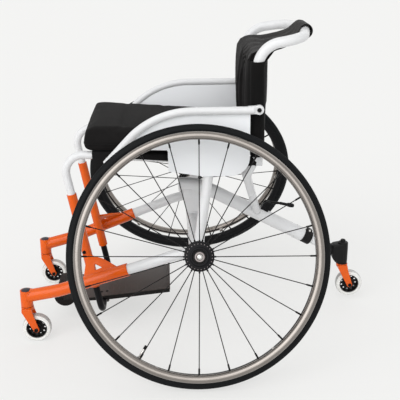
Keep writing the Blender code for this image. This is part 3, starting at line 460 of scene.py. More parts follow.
def circle(centre, radius, first, last, steps):
    angles = [radians(first + (last - first) * step / steps) for step in range(steps + 1)]
    return [(centre[0] + radius * cos(a), centre[1] + radius * sin(a)) for a in angles]


def disc(centre, radius, steps):
    return circle(centre, radius, 0, 360, steps)[:-1]


def sweep(points, radius, around=28, loop=False, bore=0.0, chamfer=0.0007):
    # A round tube along points. With a bore its ends are open, with a wall.
    points = [Vector(point) for point in points]
    count = len(points)
    if loop:
        tangents = [(points[(i + 1) % count] - points[i - 1]).normalized() for i in range(count)]
    else:
        pairs = [(points[min(i + 1, count - 1)], points[max(i - 1, 0)]) for i in range(count)]
        tangents = [(after - before).normalized() for after, before in pairs]
    side = tangents[0].orthogonal().normalized()
    stations = []
    for index, tangent in enumerate(tangents):
        side = (side - tangent * side.dot(tangent)).normalized()
        reach = radius(index / (count - 1)) if callable(radius) else radius
        stations.append((points[index], (side.copy(), tangent.cross(side)), reach))
    if not loop:
        (start, startAxes, startReach), (end, endAxes, endReach) = stations[0], stations[-1]
        ahead, behind = tangents[0], tangents[-1]
        stations = [
            (start, startAxes, startReach - chamfer),
            (start + ahead * chamfer, startAxes, startReach),
            *stations[1:-1],
            (end - behind * chamfer, endAxes, endReach),
            (end, endAxes, endReach - chamfer),
        ]
        if bore:
            depth = bore * 2.5
            inside = [(start + ahead * depth, startAxes, bore), (start, startAxes, bore)]
            stations = inside + stations
            stations += [(end, endAxes, bore), (end - behind * depth, endAxes, bore)]
    work = bmesh.new()
    rings = []
    for centre, (u, v), reach in stations:
        ring = [centre + u * reach * cos(t) + v * reach * sin(t) for t in turns(around)]
        rings.append([work.verts.new(point) for point in ring])
    pairs = list(zip(rings, rings[1:]))
    if loop:
        last, first = rings[-1], rings[0]
        offset = min(range(around), key=lambda k: (last[0].co - first[k].co).length)
        pairs.append((last, first[offset:] + first[:offset]))
    for below, above in pairs:
        for step in range(around):
            after = (step + 1) % around
            work.faces.new((below[step], below[after], above[after], above[step]))
    if not loop:
        for ring in (rings[0], rings[-1]):
            work.faces.new(ring)
    return meshOf(work)


def rod(start, end, radius, around=28, **more):
    # A straight tube.
    start, end = Vector(start), Vector(end)
    return sweep([start, start.lerp(end, 0.5), end], radius, around, **more)


def plate(outline, thickness, edge=0.0008, holes=(), corner=0.0):
    # A flat plate in XY with rounded edges, its middle at Z 0.
    curve = bpy.data.curves.new("outline", "CURVE")
    curve.dimensions = "2D"
    curve.fill_mode = "BOTH"
    curve.extrude = thickness / 2 - edge
    curve.bevel_depth = edge
    curve.bevel_resolution = 2
    curve.offset = -edge
    for loop in (outline, *holes):
        if corner:
            loop = softened(loop, corner, True, 4)
        spline = curve.splines.new("POLY")
        spline.points.add(len(loop) - 1)
        spline.use_cyclic_u = True
        for place, (x, y) in zip(spline.points, loop):
            place.co = (x, y, 0, 1)
    holder = placed("outline", curve)
    mesh = settled(holder)
    bpy.data.objects.remove(holder)
    work = bmesh.new()
    work.from_mesh(mesh)
    bmesh.ops.remove_doubles(work, verts=work.verts, dist=0.00002)
    return meshOf(work)


def settled(obj):
    # The mesh that an object's curve or modifiers make.
    bpy.context.view_layer.update()
    graph = bpy.context.evaluated_depsgraph_get()
    return bpy.data.meshes.new_from_object(obj.evaluated_get(graph))


def together(*parts):
    # Several meshes as one; each is a mesh or a (mesh, matrix) pair.
    work = bmesh.new()
    for part in parts:
        mesh, matrix = part if isinstance(part, tuple) else (part, None)
        before = len(work.verts)
        work.from_mesh(mesh)
        if matrix:
            work.verts.ensure_lookup_table()
            bmesh.ops.transform(work, matrix=matrix, verts=work.verts[before:])
    mesh = bpy.data.meshes.new("joined")
    work.to_mesh(mesh)
    work.free()
    return mesh


def piece(name, mesh, look, body, place=None, stands=None, angle=38):
    # Without stands, a piece takes the place of the solid that has its name.
    finish, slot = looks[look]
    mesh.materials.clear()
    mesh.materials.append(finish)
    mesh.shade_smooth()
    mesh.set_sharp_from_angle(angle=radians(angle))
    mesh.transform(shifted(place))
    obj = placed(name, mesh)
    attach(obj, body)
    node = "".join("_" + letter.lower() if letter.isupper() else letter for letter in name)
    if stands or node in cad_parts:
        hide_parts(stands or node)
    return obj


def along(start, end):
    # The matrix that takes local Z from start towards end.
    start, end = Vector(start), Vector(end)
    return at(*start) @ (end - start).to_track_quat("Z", "Y").to_matrix().to_4x4()


def upright(y):
    # A plate drawn in X and Z, standing at one Y.
    return at(0, y, 0) @ about("X", pi / 2)


def filleted(corners, radii, steps=10):
    corners = [Vector(corner) for corner in corners]
    points = [corners[0]]
    for index, radius in enumerate(radii, 1):
        corner = corners[index]
        back = (corners[index - 1] - corner).normalized()
        ahead = (corners[index + 1] - corner).normalized()
        half = back.angle(ahead) / 2
        start = corner + back * radius / tan(half)
        centre = corner + (back + ahead).normalized() * radius / sin(half)
        first, last = start - centre, corner + ahead * radius / tan(half) - centre
        for step in range(steps + 1):
            points.append(centre + first.slerp(last, step / steps).normalized() * radius)
    points.append(corners[-1])
    return points


def weld(aStart, aWay, aRadius, bPoint, bWay, bRadius, bead=0.0016, keep=None):
    # A bead where tube A runs into tube B, along the curve in which they meet.
    aWay, bWay = Vector(aWay).normalized(), Vector(bWay).normalized()
    aStart, bPoint = Vector(aStart), Vector(bPoint)
    u = aWay.orthogonal().normalized()
    v = aWay.cross(u)
    count = 40
    found = []
    for turn in turns(count):
        start = aStart + (u * cos(turn) + v * sin(turn)) * aRadius - bPoint
        across, reach = start - bWay * start.dot(bWay), aWay - bWay * aWay.dot(bWay)
        a, b, c = reach.dot(reach), 2 * across.dot(reach), across.dot(across) - bRadius**2
        under = b * b - 4 * a * c
        if under > 0:
            found.append(bPoint + start + aWay * (-b - sqrt(under)) / (2 * a))
    if keep:
        found = [point for point in found if keep(point)]
    ripple = [1 + 0.10 * sin(step * 2.4) for step in range(len(found))]

    def thick(t):
        return bead * ripple[min(int(t * len(found)), len(found) - 1)]

    return sweep(found, thick, 10, len(found) == count)


def mirrored(point, side):
    return Vector((point[0], side * point[1], point[2]))


def onAxle(side, distance):
    y = side * (layout["halfTrack"] + distance * cos(camber))
    return Vector((0, y, wheelHeight + distance * sin(camber)))


def socketX(z):
    return layout["socketTop"][0] + layout["socketLean"] * (layout["socketTop"][1] - z)


def onLine(start, end, x):
    # The second coordinate, at x, of a line through two points.
    return start[1] + (end[1] - start[1]) / (end[0] - start[0]) * (x - start[0])


def railZ(x):
    return onLine(layout["railFront"], layout["railRear"], x)


def railY(x):
    front, rear = layout["railFront"][0], layout["railRear"][0]
    return onLine((front, layout["socketY"]), (rear, layout["railRearY"]), x)


def railAt(x, side=1):
    return Vector((x, side * railY(x), railZ(x)))


def beamZ(x):
    return onLine(layout["beamBend"], layout["beamRear"], x)


def overBeam(x, lift=0.0):
    return Vector((x, 0, beamZ(x))) + Vector((-beamRun.z, 0, beamRun.x)) * lift


beamRun = Vector((1, 0, beamZ(1) - beamZ(0))).normalized()


# Main wheels

# Outlines here and below are (radius, height) pairs about an axle, or (X, Z) pairs of a plate.
wheel = {
    "spokes": 24,
    "spokeRadius": 0.00115,
    "nippleRadius": 0.0022,
    "nippleLength": 0.014,
    "spokeHead": mm((0, 0.8), (0.6, 0.7), (1.0, 0.4), (1.2, 0), (0, -0.4)),
    "headCircle": 0.0292,
    "headZ": 0.03095,
    "flange": 0.034,
    "flangeZ": 0.0285,
    "tyreBead": (0.2859, 0.0080),
    "grooveAngle": 44,
    "groove": 0.00045,
    "rimOutside": mm((288.5, 9.7), (288.5, 8.0), (283.5, 7.8), (282.2, 4.5)),
    "rimInside": mm((279.0, -9.7), (273.0, -7.2), (270.6, -3.0)),
    "rimInner": 0.2705,
    "hub": mm(
        (16.6, 26.0), (16.6, 33.2), (20.5, 33.4), (22.2, 32.2), (22.6, 31.2), (30.0, 31.0), (34.0, 30.0),
        (34.0, 26.8), (32.5, 25.8), (21.5, 22.5), (18.5, 19.0), (17.8, 6.0), (18.5, 5.0),
    ),
    "ringRadius": 0.275,
    "ringTube": 0.0095,
    "ringOffset": 0.0355,
    "tabs": 6,
    "firstTab": radians(7.5),
    "tabRadius": 0.2722,
    "tab": mm((-6.5, 29.0), (6.5, 29.0), (5.2, 10.5), (-5.2, 10.5)),
    "tabWeld": mm((0, -6.5, 28.2), (0, 0, 27.4), (0, 6.5, 28.2)),
    "tabBolt": mm((0, 0.6), (1.6, 0.6), (1.6, 2.6), (3.4, 2.6), (3.6, 0), (0, 0)),
    "tabBoltAt": (0.2707, 0, 0.0165),
    "turn": {-1: radians(-1.2), 1: radians(15)},
    "valve": radians(238),
    "valveStem": (0.2715, 0.2600, 0.2460),
    "valveNut": (0.2704, 0.2680),
    "valveCap": (0.2475, 0.2440, 0.2385, 0.2372),
    "bearing": mm(
        (7.4, 31.8), (8.0, 32.2), (11.2, 32.2), (11.8, 31.6), (15.8, 31.6), (16.4, 32.4), (16.6, 32.4),
        (16.6, 23.0), (7.4, 23.0),
    ),
    "axle": mm(
        (7.6, 36.0), (7.8, 42.1), (8.4, 42.7), (10.4, 42.7), (11.6, 41.5), (11.6, 34.5), (10.8, 33.6),
        (6.4, 33.5), (6.4, -60), (6.4, -102), (5.2, -105), (0, -105.2),
    ),
    "button": mm(
        (0, 47.0), (3.0, 46.7), (5.5, 45.6), (7.0, 43.7), (7.3, 42.0), (7.3, 39.5), (3.0, 39.5),
        (3.0, 6.0), (0, 6.0),
    ),
}


def tyreMesh():
    middle = layout["tyreRadius"] - layout["tyreSection"]
    profile = []
    for step in range(45):
        angle = 124 - 248 * step / 44
        groove = sum(exp(-((angle - side * wheel["grooveAngle"]) / 2.4) ** 2) for side in (-1, 1))
        reach = layout["tyreSection"] - wheel["groove"] * groove
        profile.append((middle + reach * cos(radians(angle)), reach * sin(radians(angle))))
    radius, height = wheel["tyreBead"]
    return lathe([(radius, height), *profile, (radius, -height)], 200, True)


def spokesMesh():
    slim = wheel["spokeRadius"] / wheel["nippleRadius"]

    def nipple(t):
        return wheel["nippleRadius"] * (slim + (1 - slim) * min(1, t * 2.2))

    parts = []
    for index, turn in enumerate(turns(wheel["spokes"])):
        way = Vector((cos(turn), sin(turn), 0))
        start = way * (wheel["flange"] - 0.004)
        start.z = wheel["flangeZ"] * (-1) ** index
        end = way * (wheel["rimInner"] + 0.001)
        run = (end - start).normalized()
        body = end - run * wheel["nippleLength"]
        neck = [body - run * 0.0015, body, body + run * 0.0015, end]
        root = start + run * 0.0035
        parts.append(rod(start, end, wheel["spokeRadius"], 10))
        parts.append(sweep(neck, nipple, 10, chamfer=0.0002))
        parts.append(rod(root, root + run * 0.0044, 0.0021, 10, chamfer=0.0004))
    return together(*parts)


def spokeHeads():
    # A small dome over each spoke's end, on both faces of the hub.
    parts = []
    dome = lathe(wheel["spokeHead"], 12)
    for turn in turns(wheel["spokes"], pi / wheel["spokes"]):
        for face in (1, -1):
            x, y = wheel["headCircle"] * cos(turn), wheel["headCircle"] * sin(turn)
            parts.append((dome, at(x, y, face * wheel["headZ"]) @ about("X", 0 if face > 0 else pi)))
    return together(*parts)


def tabTurns():
    return [about("Z", turn) for turn in turns(wheel["tabs"], wheel["firstTab"])]


def handrimMesh():
    radius, height = wheel["ringRadius"], wheel["ringOffset"]
    ring = [(radius * cos(t), radius * sin(t), height) for t in turns(160)]
    parts = [sweep(ring, wheel["ringTube"], 32, True)]
    facing = Matrix(((0, 0, 1, 0), (1, 0, 0, 0), (0, 1, 0, 0), (0, 0, 0, 1)))
    for turn in tabTurns():
        foot = turn @ at(wheel["tabRadius"], 0, 0)
        parts.append((plate(wheel["tab"], 0.0028, 0.0005, corner=0.0015), foot @ facing))
        parts.append((sweep(wheel["tabWeld"], 0.0019, 10), foot))
    return together(*parts)


def tabBolts():
    bolt = lathe(wheel["tabBolt"], 20, soft=0.0004)
    place = at(*wheel["tabBoltAt"]) @ about("Y", -pi / 2)
    return together(*((bolt, turn @ place) for turn in tabTurns()))


def valveTube(radii, thick, around=14, **more):
    way = Vector((cos(wheel["valve"]), sin(wheel["valve"]), 0))
    return sweep([way * radius for radius in radii], thick, around, **more)


def bearingMesh(profile):
    return lathe(profile, 48, True, 0.0003, 2)


for label, side in sides:
    body, place = label + "_wheel", wheelPlace(side)
    spun = place @ about("Z", wheel["turn"][side])
    rim = bothEnds(wheel["rimOutside"]) + bothEnds(wheel["rimInside"])
    hub = lathe(bothEnds(wheel["hub"]), 96, soft=0.0007, cuts=2)
    nut = valveTube(wheel["valveNut"], 0.0044, 6, chamfer=0.0005)
    valve = together(valveTube(wheel["valveStem"], lambda t: 0.0026 - 0.0004 * t), nut)
    cap = valveTube(wheel["valveCap"], lambda t: 0.0030 - 0.0012 * t**3)
    innerBearing = bearingMesh([(radius, -height) for radius, height in reversed(wheel["bearing"])])
    piece(label + "Tyre", tyreMesh(), label + "TyreRubber", body, place)
    piece(label + "Rim", lathe(rim, 160, True, 0.0008), "blackAlloy", body, place)
    piece(label + "Spokes", spokesMesh(), "blackSteel", body, spun)
    piece(label + "Hub", hub, "blackAlloy", body, spun, label + "_spoked_hub")
    piece(label + "SpokeHeads", spokeHeads(), "axleSteel", body, spun)
    piece(label + "Handrim", handrimMesh(), "titaniumTube", body, place)
    piece(label + "TabBolts", tabBolts(), "polishedSteel", body, place)
    piece(label + "ValveStem", valve, "polishedSteel", body, place)
    piece(label + "ValveCap", cap, "blackPlastic", body, place)
    piece(label + "OuterBearing", bearingMesh(wheel["bearing"]), "blackPlastic", body, place)
    piece(label + "InnerBearing", innerBearing, "polishedSteel", body, place)
    piece(label + "Axle", lathe(wheel["axle"], 48, soft=0.0006), "axleSteel", "frame", place)
    button = lathe(wheel["button"], 48, soft=0.0004)
    piece(label + "AxleButton", button, "polishedSteel", label + "_release_button", place)
print("main wheels made")


# Casters

caster = {
    "crown": mm(
        (0, 6.0), (6.0, 6.0), (6.0, -0.2), (14.6, -0.2), (15.5, -1.0), (15.5, -8.2), (14.6, -9.4), (0, -9.4),
    ),
    "bridge": mm((-12.5, -10), (-12.5, -3), (12.5, -3), (12.5, -10)),
    "bridgeWidth": 0.0362,
    "blade": 0.005,
    "bladeFront": mm((-12.5, -2.2), (-12.6, -11.0)),
    "bladeRear": mm((14.5, -15.0), (12.5, -2.2)),
    "bladeFoot": 0.0075,
    "halfWidth": 0.0185,
    "boss": mm((0, 3.2), (5.2, 3.2), (6.0, 2.2), (6.0, -2.0), (0, -2.0)),
    "tyre": mm(
        (25.2, 10.8), (26.2, 11.3), (28.0, 11.4), (29.2, 10.9), (30.4, 11.4), (33.0, 11.2), (34.8, 10.0),
        (36.0, 7.5), (36.5, 4.0),
    ),
    "web": 0.0240,
    "holes": 11,
    "holeRadius": 0.0026,
    "holeCircle": 0.0198,
    "band": mm((25.4, 10.4), (25.4, -10.4), (23.8, -10.4), (23.1, -6.0), (23.1, 6.0), (23.8, 10.4)),
    "hub": mm((4.6, 11.6), (7.8, 11.6), (8.8, 10.4), (9.6, 6.2), (12.5, 5.8)),
    "bolt": mm((0, 19), (4, 19)),
    "boltHead": 0.0195,
    "washer": mm((6.8, 1.4), (13.8, 1.4), (14.4, 0.8), (14.4, -0.6), (6.8, -0.6)),
    "stem": mm((0, 35.5), (5.0, 35.5), (5.9, 34.6), (5.9, 0), (0, 0)),
    "bearing": mm((10.5, 10.5), (10.5, 2.0), (6.5, 2.0), (6.5, 10.5)),
}


def forkMesh(x, y, top):
    axleX, axleZ = x + layout["trail"], top - layout["forkHeight"]
    parts = [(lathe(caster["crown"], 48, soft=0.0005), at(x, y, top))]
    bridge = plate(moved(caster["bridge"], x, top), caster["bridgeWidth"], 0.0012, corner=0.0018)
    parts.append((bridge, upright(y)))
    outline = moved(caster["bladeFront"], x, top)
    outline += circle((axleX, axleZ), caster["bladeFoot"], 215, 395, 16)
    outline += moved(caster["bladeRear"], x, top)
    for hand in (-1, 1):
        bladeY = y + hand * (caster["halfWidth"] - caster["blade"] / 2)
        parts.append((plate(outline, caster["blade"], 0.0011, corner=0.0012), upright(bladeY)))
        boss = lathe(caster["boss"], 32, soft=0.0005)
        parts.append((boss, at(axleX, bladeY, axleZ) @ about("X", -hand * pi / 2)))
    return together(*parts)


def casterCoreMesh():
    reach = caster["holeCircle"]
    middles = [(reach * cos(turn), reach * sin(turn)) for turn in turns(caster["holes"])]
    holes = [disc(middle, caster["holeRadius"], 18) for middle in middles]
    web = plate(disc((0, 0), caster["web"], 60), 0.0042, 0.0006, holes)
    band = lathe(caster["band"], 72, True, 0.0006)
    return together(web, band, lathe(bothEnds(caster["hub"]), 48, True, 0.0005))


def hexHead(radius, tall):
    # A cap screw's head with its six-sided socket.
    wall, foot = radius * 0.55, radius * 0.58
    rim = [(wall, tall), (radius * 0.86, tall), (radius, tall * 0.72), (radius, 0), (wall, 0)]
    socket = [(radius * 0.56 * cos(turn), radius * 0.56 * sin(turn)) for turn in turns(6)]
    collar = plate(disc((0, 0), radius * 0.60, 24), tall * 0.7, tall * 0.03, [socket])
    floor = lathe([(0, tall * 0.25), (foot, tall * 0.25), (foot, 0), (0, 0)], 24)
    return together(lathe(rim, 32, True, radius * 0.08), (collar, at(0, 0, tall * 0.64)), floor)


def addCaster(label, swivel, x, y, top, carrier):
    roller = swivel.replace("swivel", "wheel")
    middle, seat = casterPlace(x, y, top), at(x, y, top)
    head, out = hexHead(0.0052, 0.0030), at(0, 0, caster["boltHead"])
    bolt = together(lathe(bothEnds(caster["bolt"]), 32), (head, out), (head, about("X", pi) @ out))
    urethane = label.replace("Caster", "Urethane")
    piece(label + "Fork", forkMesh(x, y, top), "orangePaint", swivel)
    piece(label + "Tyre", lathe(bothEnds(caster["tyre"]), 96, True, 0.0008), urethane, roller, middle)
    piece(label + "Core", casterCoreMesh(), "blackPlastic", roller, middle)
    piece(label + "Axle", bolt, "blackSteel", swivel, middle)
    piece(label + "Washer", lathe(caster["washer"], 48, True, 0.0003), "blackPlastic", carrier, seat)
    piece(label + "Stem", lathe(caster["stem"], 32, soft=0.0004), "polishedSteel", swivel, seat)
    piece(label + "StemBearing", lathe(caster["bearing"], 40, True, 0.0003), "polishedSteel", carrier, seat)


for label, side in sides:
    addCaster(label + "Caster", label + "_caster_swivel", stem[0], side * stem[1], forkTop, "frame")
addCaster("rearCaster", "rear_caster_swivel", layout["rearStemX"], 0, layout["rearForkTop"], "anti_tip")
print("casters made")


# Orange front arms

arm = {
    "radius": 0.0162,
    "bore": 0.0137,
    "front": (-0.4290, 0.1753, 0.1241),
    "bend": (-0.3465, 0.1849, 0.1422),
    "rear": (-0.1705, 0.2055, 0.2035),
    "bendRadius": 0.30,
    "housing": 0.0155,
    "housingHeight": 0.043,
    "socket": 0.0122,
    "socketBore": 0.0101,
    "socketFoot": 0.1315,
    "stub": 0.0095,
    "stubX": -0.268,
    "gussetX": -0.283,
    "gussetTop": 0.221,
    "gusset": mm((0, 0), (93, 0), (93, 7), (78, 22), (56, 43), (40, 53)),
    "gussetHole": mm((34, 35), (53, 18), (32, 16)),
    "gussetSeam": mm((4, 8.5), (45, 8.8), (90, 8.5)),
    "cap": mm((0, 3.8), (4.5, 3.6), (8.5, 2.8), (11.0, 1.4), (11.8, 0.4), (11.8, -3.0), (0, -3.0)),
    "bolt": (-0.2825, 0.0118, 0.230),
}


def onSocket(z, side):
    return Vector((socketX(z), side * layout["socketY"], z))


def armMesh(side):
    front, bend, end = (mirrored(arm[spot], side) for spot in ("front", "bend", "rear"))
    run = (end - bend).normalized()
    path = filleted([front, bend, end], (arm["bendRadius"],), 12)
    base, tall, reach = forkTop + 0.0010, arm["housingHeight"], arm["housing"]
    barrel = [(0.0121, tall - 0.004), (0.0121, tall), (reach - 0.0008, tall), (reach, tall - 0.0008)]
    barrel += [(reach, 0.0008), (reach - 0.0008, 0), (0.0108, 0), (0.0108, 0.006)]
    middle = Vector((stem[0], side * stem[1], 0))
    foot, top = onSocket(arm["socketFoot"], side), onSocket(layout["socketTop"][1], side)
    stubEnd = end + run * ((arm["stubX"] - end.x) / run.x)
    stubFoot = onSocket(stubEnd.z, side)
    stub = stubEnd - stubFoot

    def onHousing(point):
        return base < point.z < base + tall

    parts = [
        sweep(path, arm["radius"], 40, bore=arm["bore"]),
        (lathe(barrel, 56, soft=0.0004), at(middle.x, middle.y, base)),
        rod(foot, top, arm["socket"], 36, bore=arm["socketBore"]),
        rod(stubFoot, stubEnd, arm["stub"]),
        weld(stubEnd - stub * 0.9, stub, arm["stub"], stubEnd, run, arm["radius"]),
        weld(stubFoot + stub * 0.9, -stub, arm["stub"], foot, top - foot, arm["socket"]),
        weld(bend, path[0] - path[2], arm["radius"], middle, (0, 0, 1), reach, 0.0018, onHousing),
    ]
    low = end + run * ((arm["gussetX"] - end.x) / run.x) + Vector((0, 0, 0.008))
    high = onSocket(arm["gussetTop"], side)
    lean = (high - low).dot(run)
    rise = high - low - run * lean
    height = rise.length
    rise.normalize()
    plane = Matrix.Identity(4)
    for column, axis in enumerate((run, rise, run.cross(rise))):
        plane.col[column] = (*axis, 0)
    plane.translation = low
    outline = arm["gusset"] + [(lean, height)]
    hole = softened(arm["gussetHole"], 0.0035, True, 5)
    parts.append((plate(outline, 0.0056, 0.0010, [hole], corner=0.004), plane))
    for hand in (-1, 1):
        seam = [(x, y, hand * 0.0030) for x, y in arm["gussetSeam"]]
        parts.append((sweep(seam, 0.0016, 10), plane))
    return together(*parts)


for label, side in sides:
    piece(label + "CasterArm", armMesh(side), "orangePaint", "frame")
    capPlace = at(stem[0], side * stem[1], forkTop + 0.001 + arm["housingHeight"])
    piece(label + "StemCap", lathe(arm["cap"], 48, soft=0.0004), "capPlastic", "frame", capPlace)
    x, out, z = arm["bolt"]
    spot = Vector((x, side * (layout["socketY"] + out), z))
    boltPlace = along(spot, spot + Vector((0, side, 0)))
    piece(label + "SocketBolt", hexHead(0.0046, 0.0032), "blackSteel", "frame", boltPlace)
print("front arms made")


# White frame

tubes = {
    "camber": 0.020,
    "camberHalf": 0.262,
    "camberHeight": 0.260,
    "sleeve": 0.0135,
    "sleeveBore": 0.0068,
    "sleeveEnds": (-0.036, -0.088),
    "side": 0.0133,
    "sideCorners": ((-0.055, 0.217, 0.2435), (-0.002, 0.2235, 0.2545)),
    "rail": 0.010,
    "railFoot": 0.315,
    "railEnd": 0.163,
    "axleStrut": 0.0125,
    "strutFoot": (0.0, 0.2405, 0.262),
    "strutHeadX": 0.037,
    "rearStrut": 0.010,
    "rearStrutTopX": 0.144,
    "rearStrutBend": (0.1265, 0.152, 0.424),
    "rearStrutFoot": (0.168, 0.0155, 0.010),  # X, Y and the height above the beam's axis
    "beam": 0.018,
    "beamBore": 0.0128,
    "pedestal": mm((-30, 352), (-18, 262), (18, 262), (30, 348)),
    "pedestalSeams": (mm((-16.5, 279.5), (0, 281.2), (16.5, 279.5)), mm((-27, 344), (0, 342.5), (27, 340))),
    "antiTip": 0.0125,
    "antiTipEnds": (0.160, 0.392),
    "post": 0.0125,
}
camberAxis = ((0, 0, tubes["camberHeight"]), (0, 1, 0), tubes["camber"])


def camberTubeMesh():
    half, height = tubes["camberHalf"], tubes["camberHeight"]
    parts = [rod((0, -half, height), (0, half, height), tubes["camber"], 48, chamfer=0.0016)]
    for side in (-1, 1):
        mouth, root = (onAxle(side, distance) for distance in tubes["sleeveEnds"])
        parts.append(rod(mouth, root, tubes["sleeve"], 36, bore=tubes["sleeveBore"]))
        parts.append(rod(mouth.lerp(root, 0.10), mouth.lerp(root, 0.22), tubes["sleeve"] + 0.0008, 36))
    return together(*parts)


def sideTubeMesh(side):
    end, bend = mirrored(arm["rear"], side), mirrored(arm["bend"], side)
    run = (end - bend).normalized()
    corners = [end - run * 0.045, end + run * 0.012] + [mirrored(c, side) for c in tubes["sideCorners"]]
    path = filleted(corners, (0.12, 0.12), 12)
    bead = weld(path[-2], path[-1] - path[-2], tubes["side"], *camberAxis)
    return together(sweep(path, tubes["side"], 32), bead)


def axleStrutMesh(side):
    radius, foot = tubes["axleStrut"], mirrored(tubes["strutFoot"], side)
    head = railAt(tubes["strutHeadX"], side) - Vector((0, side * 0.003, 0))
    rise = head - foot
    path = [foot + rise * t / 20 for t in range(20)] + [head - rise.normalized() * 0.004]
    tube = sweep(path, lambda t: radius - 0.03 * max(0.0, t - 0.9), 32)
    low = weld(foot + rise * 0.4, -rise, radius, *camberAxis)
    railWay = railAt(1, side) - railAt(0, side)
    high = weld(foot + rise * 0.6, rise, 0.0092, railAt(0, side), railWay, tubes["rail"])
    return together(tube, low, high)


def rearStrutMesh(side):
    x, y, lift = tubes["rearStrutFoot"]
    foot = mirrored((x, y, beamZ(x) + lift), side)
    corners = [railAt(tubes["rearStrutTopX"], side), mirrored(tubes["rearStrutBend"], side), foot]
    path = filleted(corners, (0.022,))
    last = path[-1] - path[-2]
    bead = weld(path[-2] + last / 2, last, tubes["rearStrut"], overBeam(0.1), beamRun, tubes["beam"])
    return together(sweep(path, tubes["rearStrut"], 28), bead)


def seatRailMesh(side):
    corners = [onSocket(tubes["railFoot"], side)]
    corners += [railAt(x, side) for x in (layout["railFront"][0], tubes["railEnd"])]
    return sweep(filleted(corners, (0.045,), 14), tubes["rail"], 28)


def beamMesh():
    frontX, frontZ = layout["beamFront"]
    corners = [(frontX, 0, frontZ)] + [overBeam(layout[end][0]) for end in ("beamBend", "beamRear")]
    parts = [sweep(filleted(corners, (0.14,), 12), tubes["beam"], 44, bore=tubes["beamBore"])]
    parts.append((plate(tubes["pedestal"], 0.026, 0.0025, corner=0.004), upright(0)))
    for y in (-0.0135, 0.0135):
        for seam in tubes["pedestalSeams"]:
            parts.append(sweep([(x, y, z) for x, z in seam], 0.0018, 10))
    parts.append(rod(overBeam(0.274), overBeam(0.294), tubes["beam"] + 0.0010, 44))
    return together(*parts)


piece("camberTube", camberTubeMesh(), "whitePaint", "frame")
for label, side in sides:
    piece(label + "SideTube", sideTubeMesh(side), "whitePaint", "frame")
    piece(label + "AxleStrut", axleStrutMesh(side), "whitePaint", "frame")
    piece(label + "RearStrut", rearStrutMesh(side), "whitePaint", "frame")
    piece(label + "SeatRail", seatRailMesh(side), "whitePaint", "frame")
piece("rearBeam", beamMesh(), "whitePaint", "frame")
innerTube = rod(*(overBeam(x) for x in tubes["antiTipEnds"]), tubes["antiTip"], 36)
piece("antiTipTube", innerTube, "whitePaint", "anti_tip")

backBar = {
    "foot": (0.151, 0.463),
    "corner": (0.148, 0.740),
    "side": (0.254, 0.7565),
    "middle": (0.2855, 0.759),
    "y": 0.158,
    "bend": 0.060,
    "sideBend": 0.065,
    "bow": 0.300,
}


def backBarPath():
    near = [(x, -backBar["y"], z) for x, z in (backBar["foot"], backBar["corner"], backBar["side"])]
    far = [(x, -y, z) for x, y, z in reversed(near)]
    bends = (backBar["bend"], backBar["sideBend"])
    middle = (backBar["middle"][0], 0, backBar["middle"][1])
    return filleted([*near, middle, *far], (*bends, backBar["bow"], *reversed(bends)), 14)


piece("backFrame", sweep(backBarPath(), tubes["post"], 36), "whitePaint", "frame")
print("white frame made")


# Rear clamps, lever and housing

rear = {
    "collar": mm(
        (12.9, 0.4), (17.8, 0.4), (18.8, 1.6), (18.8, 8.8), (18.0, 9.8), (18.0, 10.8), (18.8, 11.8),
        (18.8, 22.5), (17.8, 24.0), (12.9, 24.0),
    ),
    "ear": mm((-7.8, 15.0), (-7.8, 24.5), (7.8, 24.5), (7.8, 15.0)),
    "earAlong": 0.0102,
    "clampX": 0.182,
    "cheek": mm((-10.8, 11.0), (-10.8, 33.0), (-6.0, 42.0), (7.0, 42.5), (10.8, 35.0), (10.8, 11.0)),
    "cheekZ": 0.0067,
    "block": mm((-10.6, 12.0), (-10.6, 32.0), (10.6, 32.0), (10.6, 12.0)),
    "pivot": (0.183, 0.0394),
    "leverTip": (0.0665, 0, -0.0110),
    "leverNeck": (0.030, 0, -0.0030),
    "cam": mm((0, 4.0), (4.0, 4.0), (4.9, 3.0)),
    "pin": mm((0, 9.6), (1.6, 9.6), (2.2, 9.0)),
    "foot": 0.119,
    "barrel": mm(
        (0, 69.6), (3.0, 69.5), (6.0, 68.6), (7.0, 67.0), (7.0, 63.2), (7.8, 62.2), (12.2, 61.8),
        (14.3, 59.6), (14.6, 40.0), (14.1, 6.0), (13.8, 0.8), (13.0, 0), (10.8, 0), (10.8, 4.0),
    ),
    "wing": mm(
        (384.5, 175), (379.7, 170.5), (379.7, 137.5), (388.5, 125), (398.5, 120.5), (412, 120.5),
        (412, 177.5), (399, 177.5),
    ),
}
beamMouth = overBeam(layout["beamRear"][0])
inBeamPlane = about("Y", atan2(-beamRun.z, beamRun.x)) @ about("X", pi / 2)


def collarMesh():
    ring = lathe(rear["collar"], 64, True, 0.0005)
    ear = plate(rear["ear"], 0.0120, 0.0010, corner=0.0030)
    earPlace = at(*(beamMouth + beamRun * rear["earAlong"])) @ inBeamPlane
    return together((ring, along(beamMouth, beamMouth + beamRun)), (ear, earPlace))


def leverClampMesh():
    turn = at(*overBeam(rear["clampX"])) @ inBeamPlane
    cheek = plate(rear["cheek"], 0.0046, 0.0008, corner=0.0035)
    parts = [(cheek, turn @ at(0, 0, side * rear["cheekZ"])) for side in (-1, 1)]
    return together(*parts, (plate(rear["block"], 0.0110, 0.0008, corner=0.0012), turn))


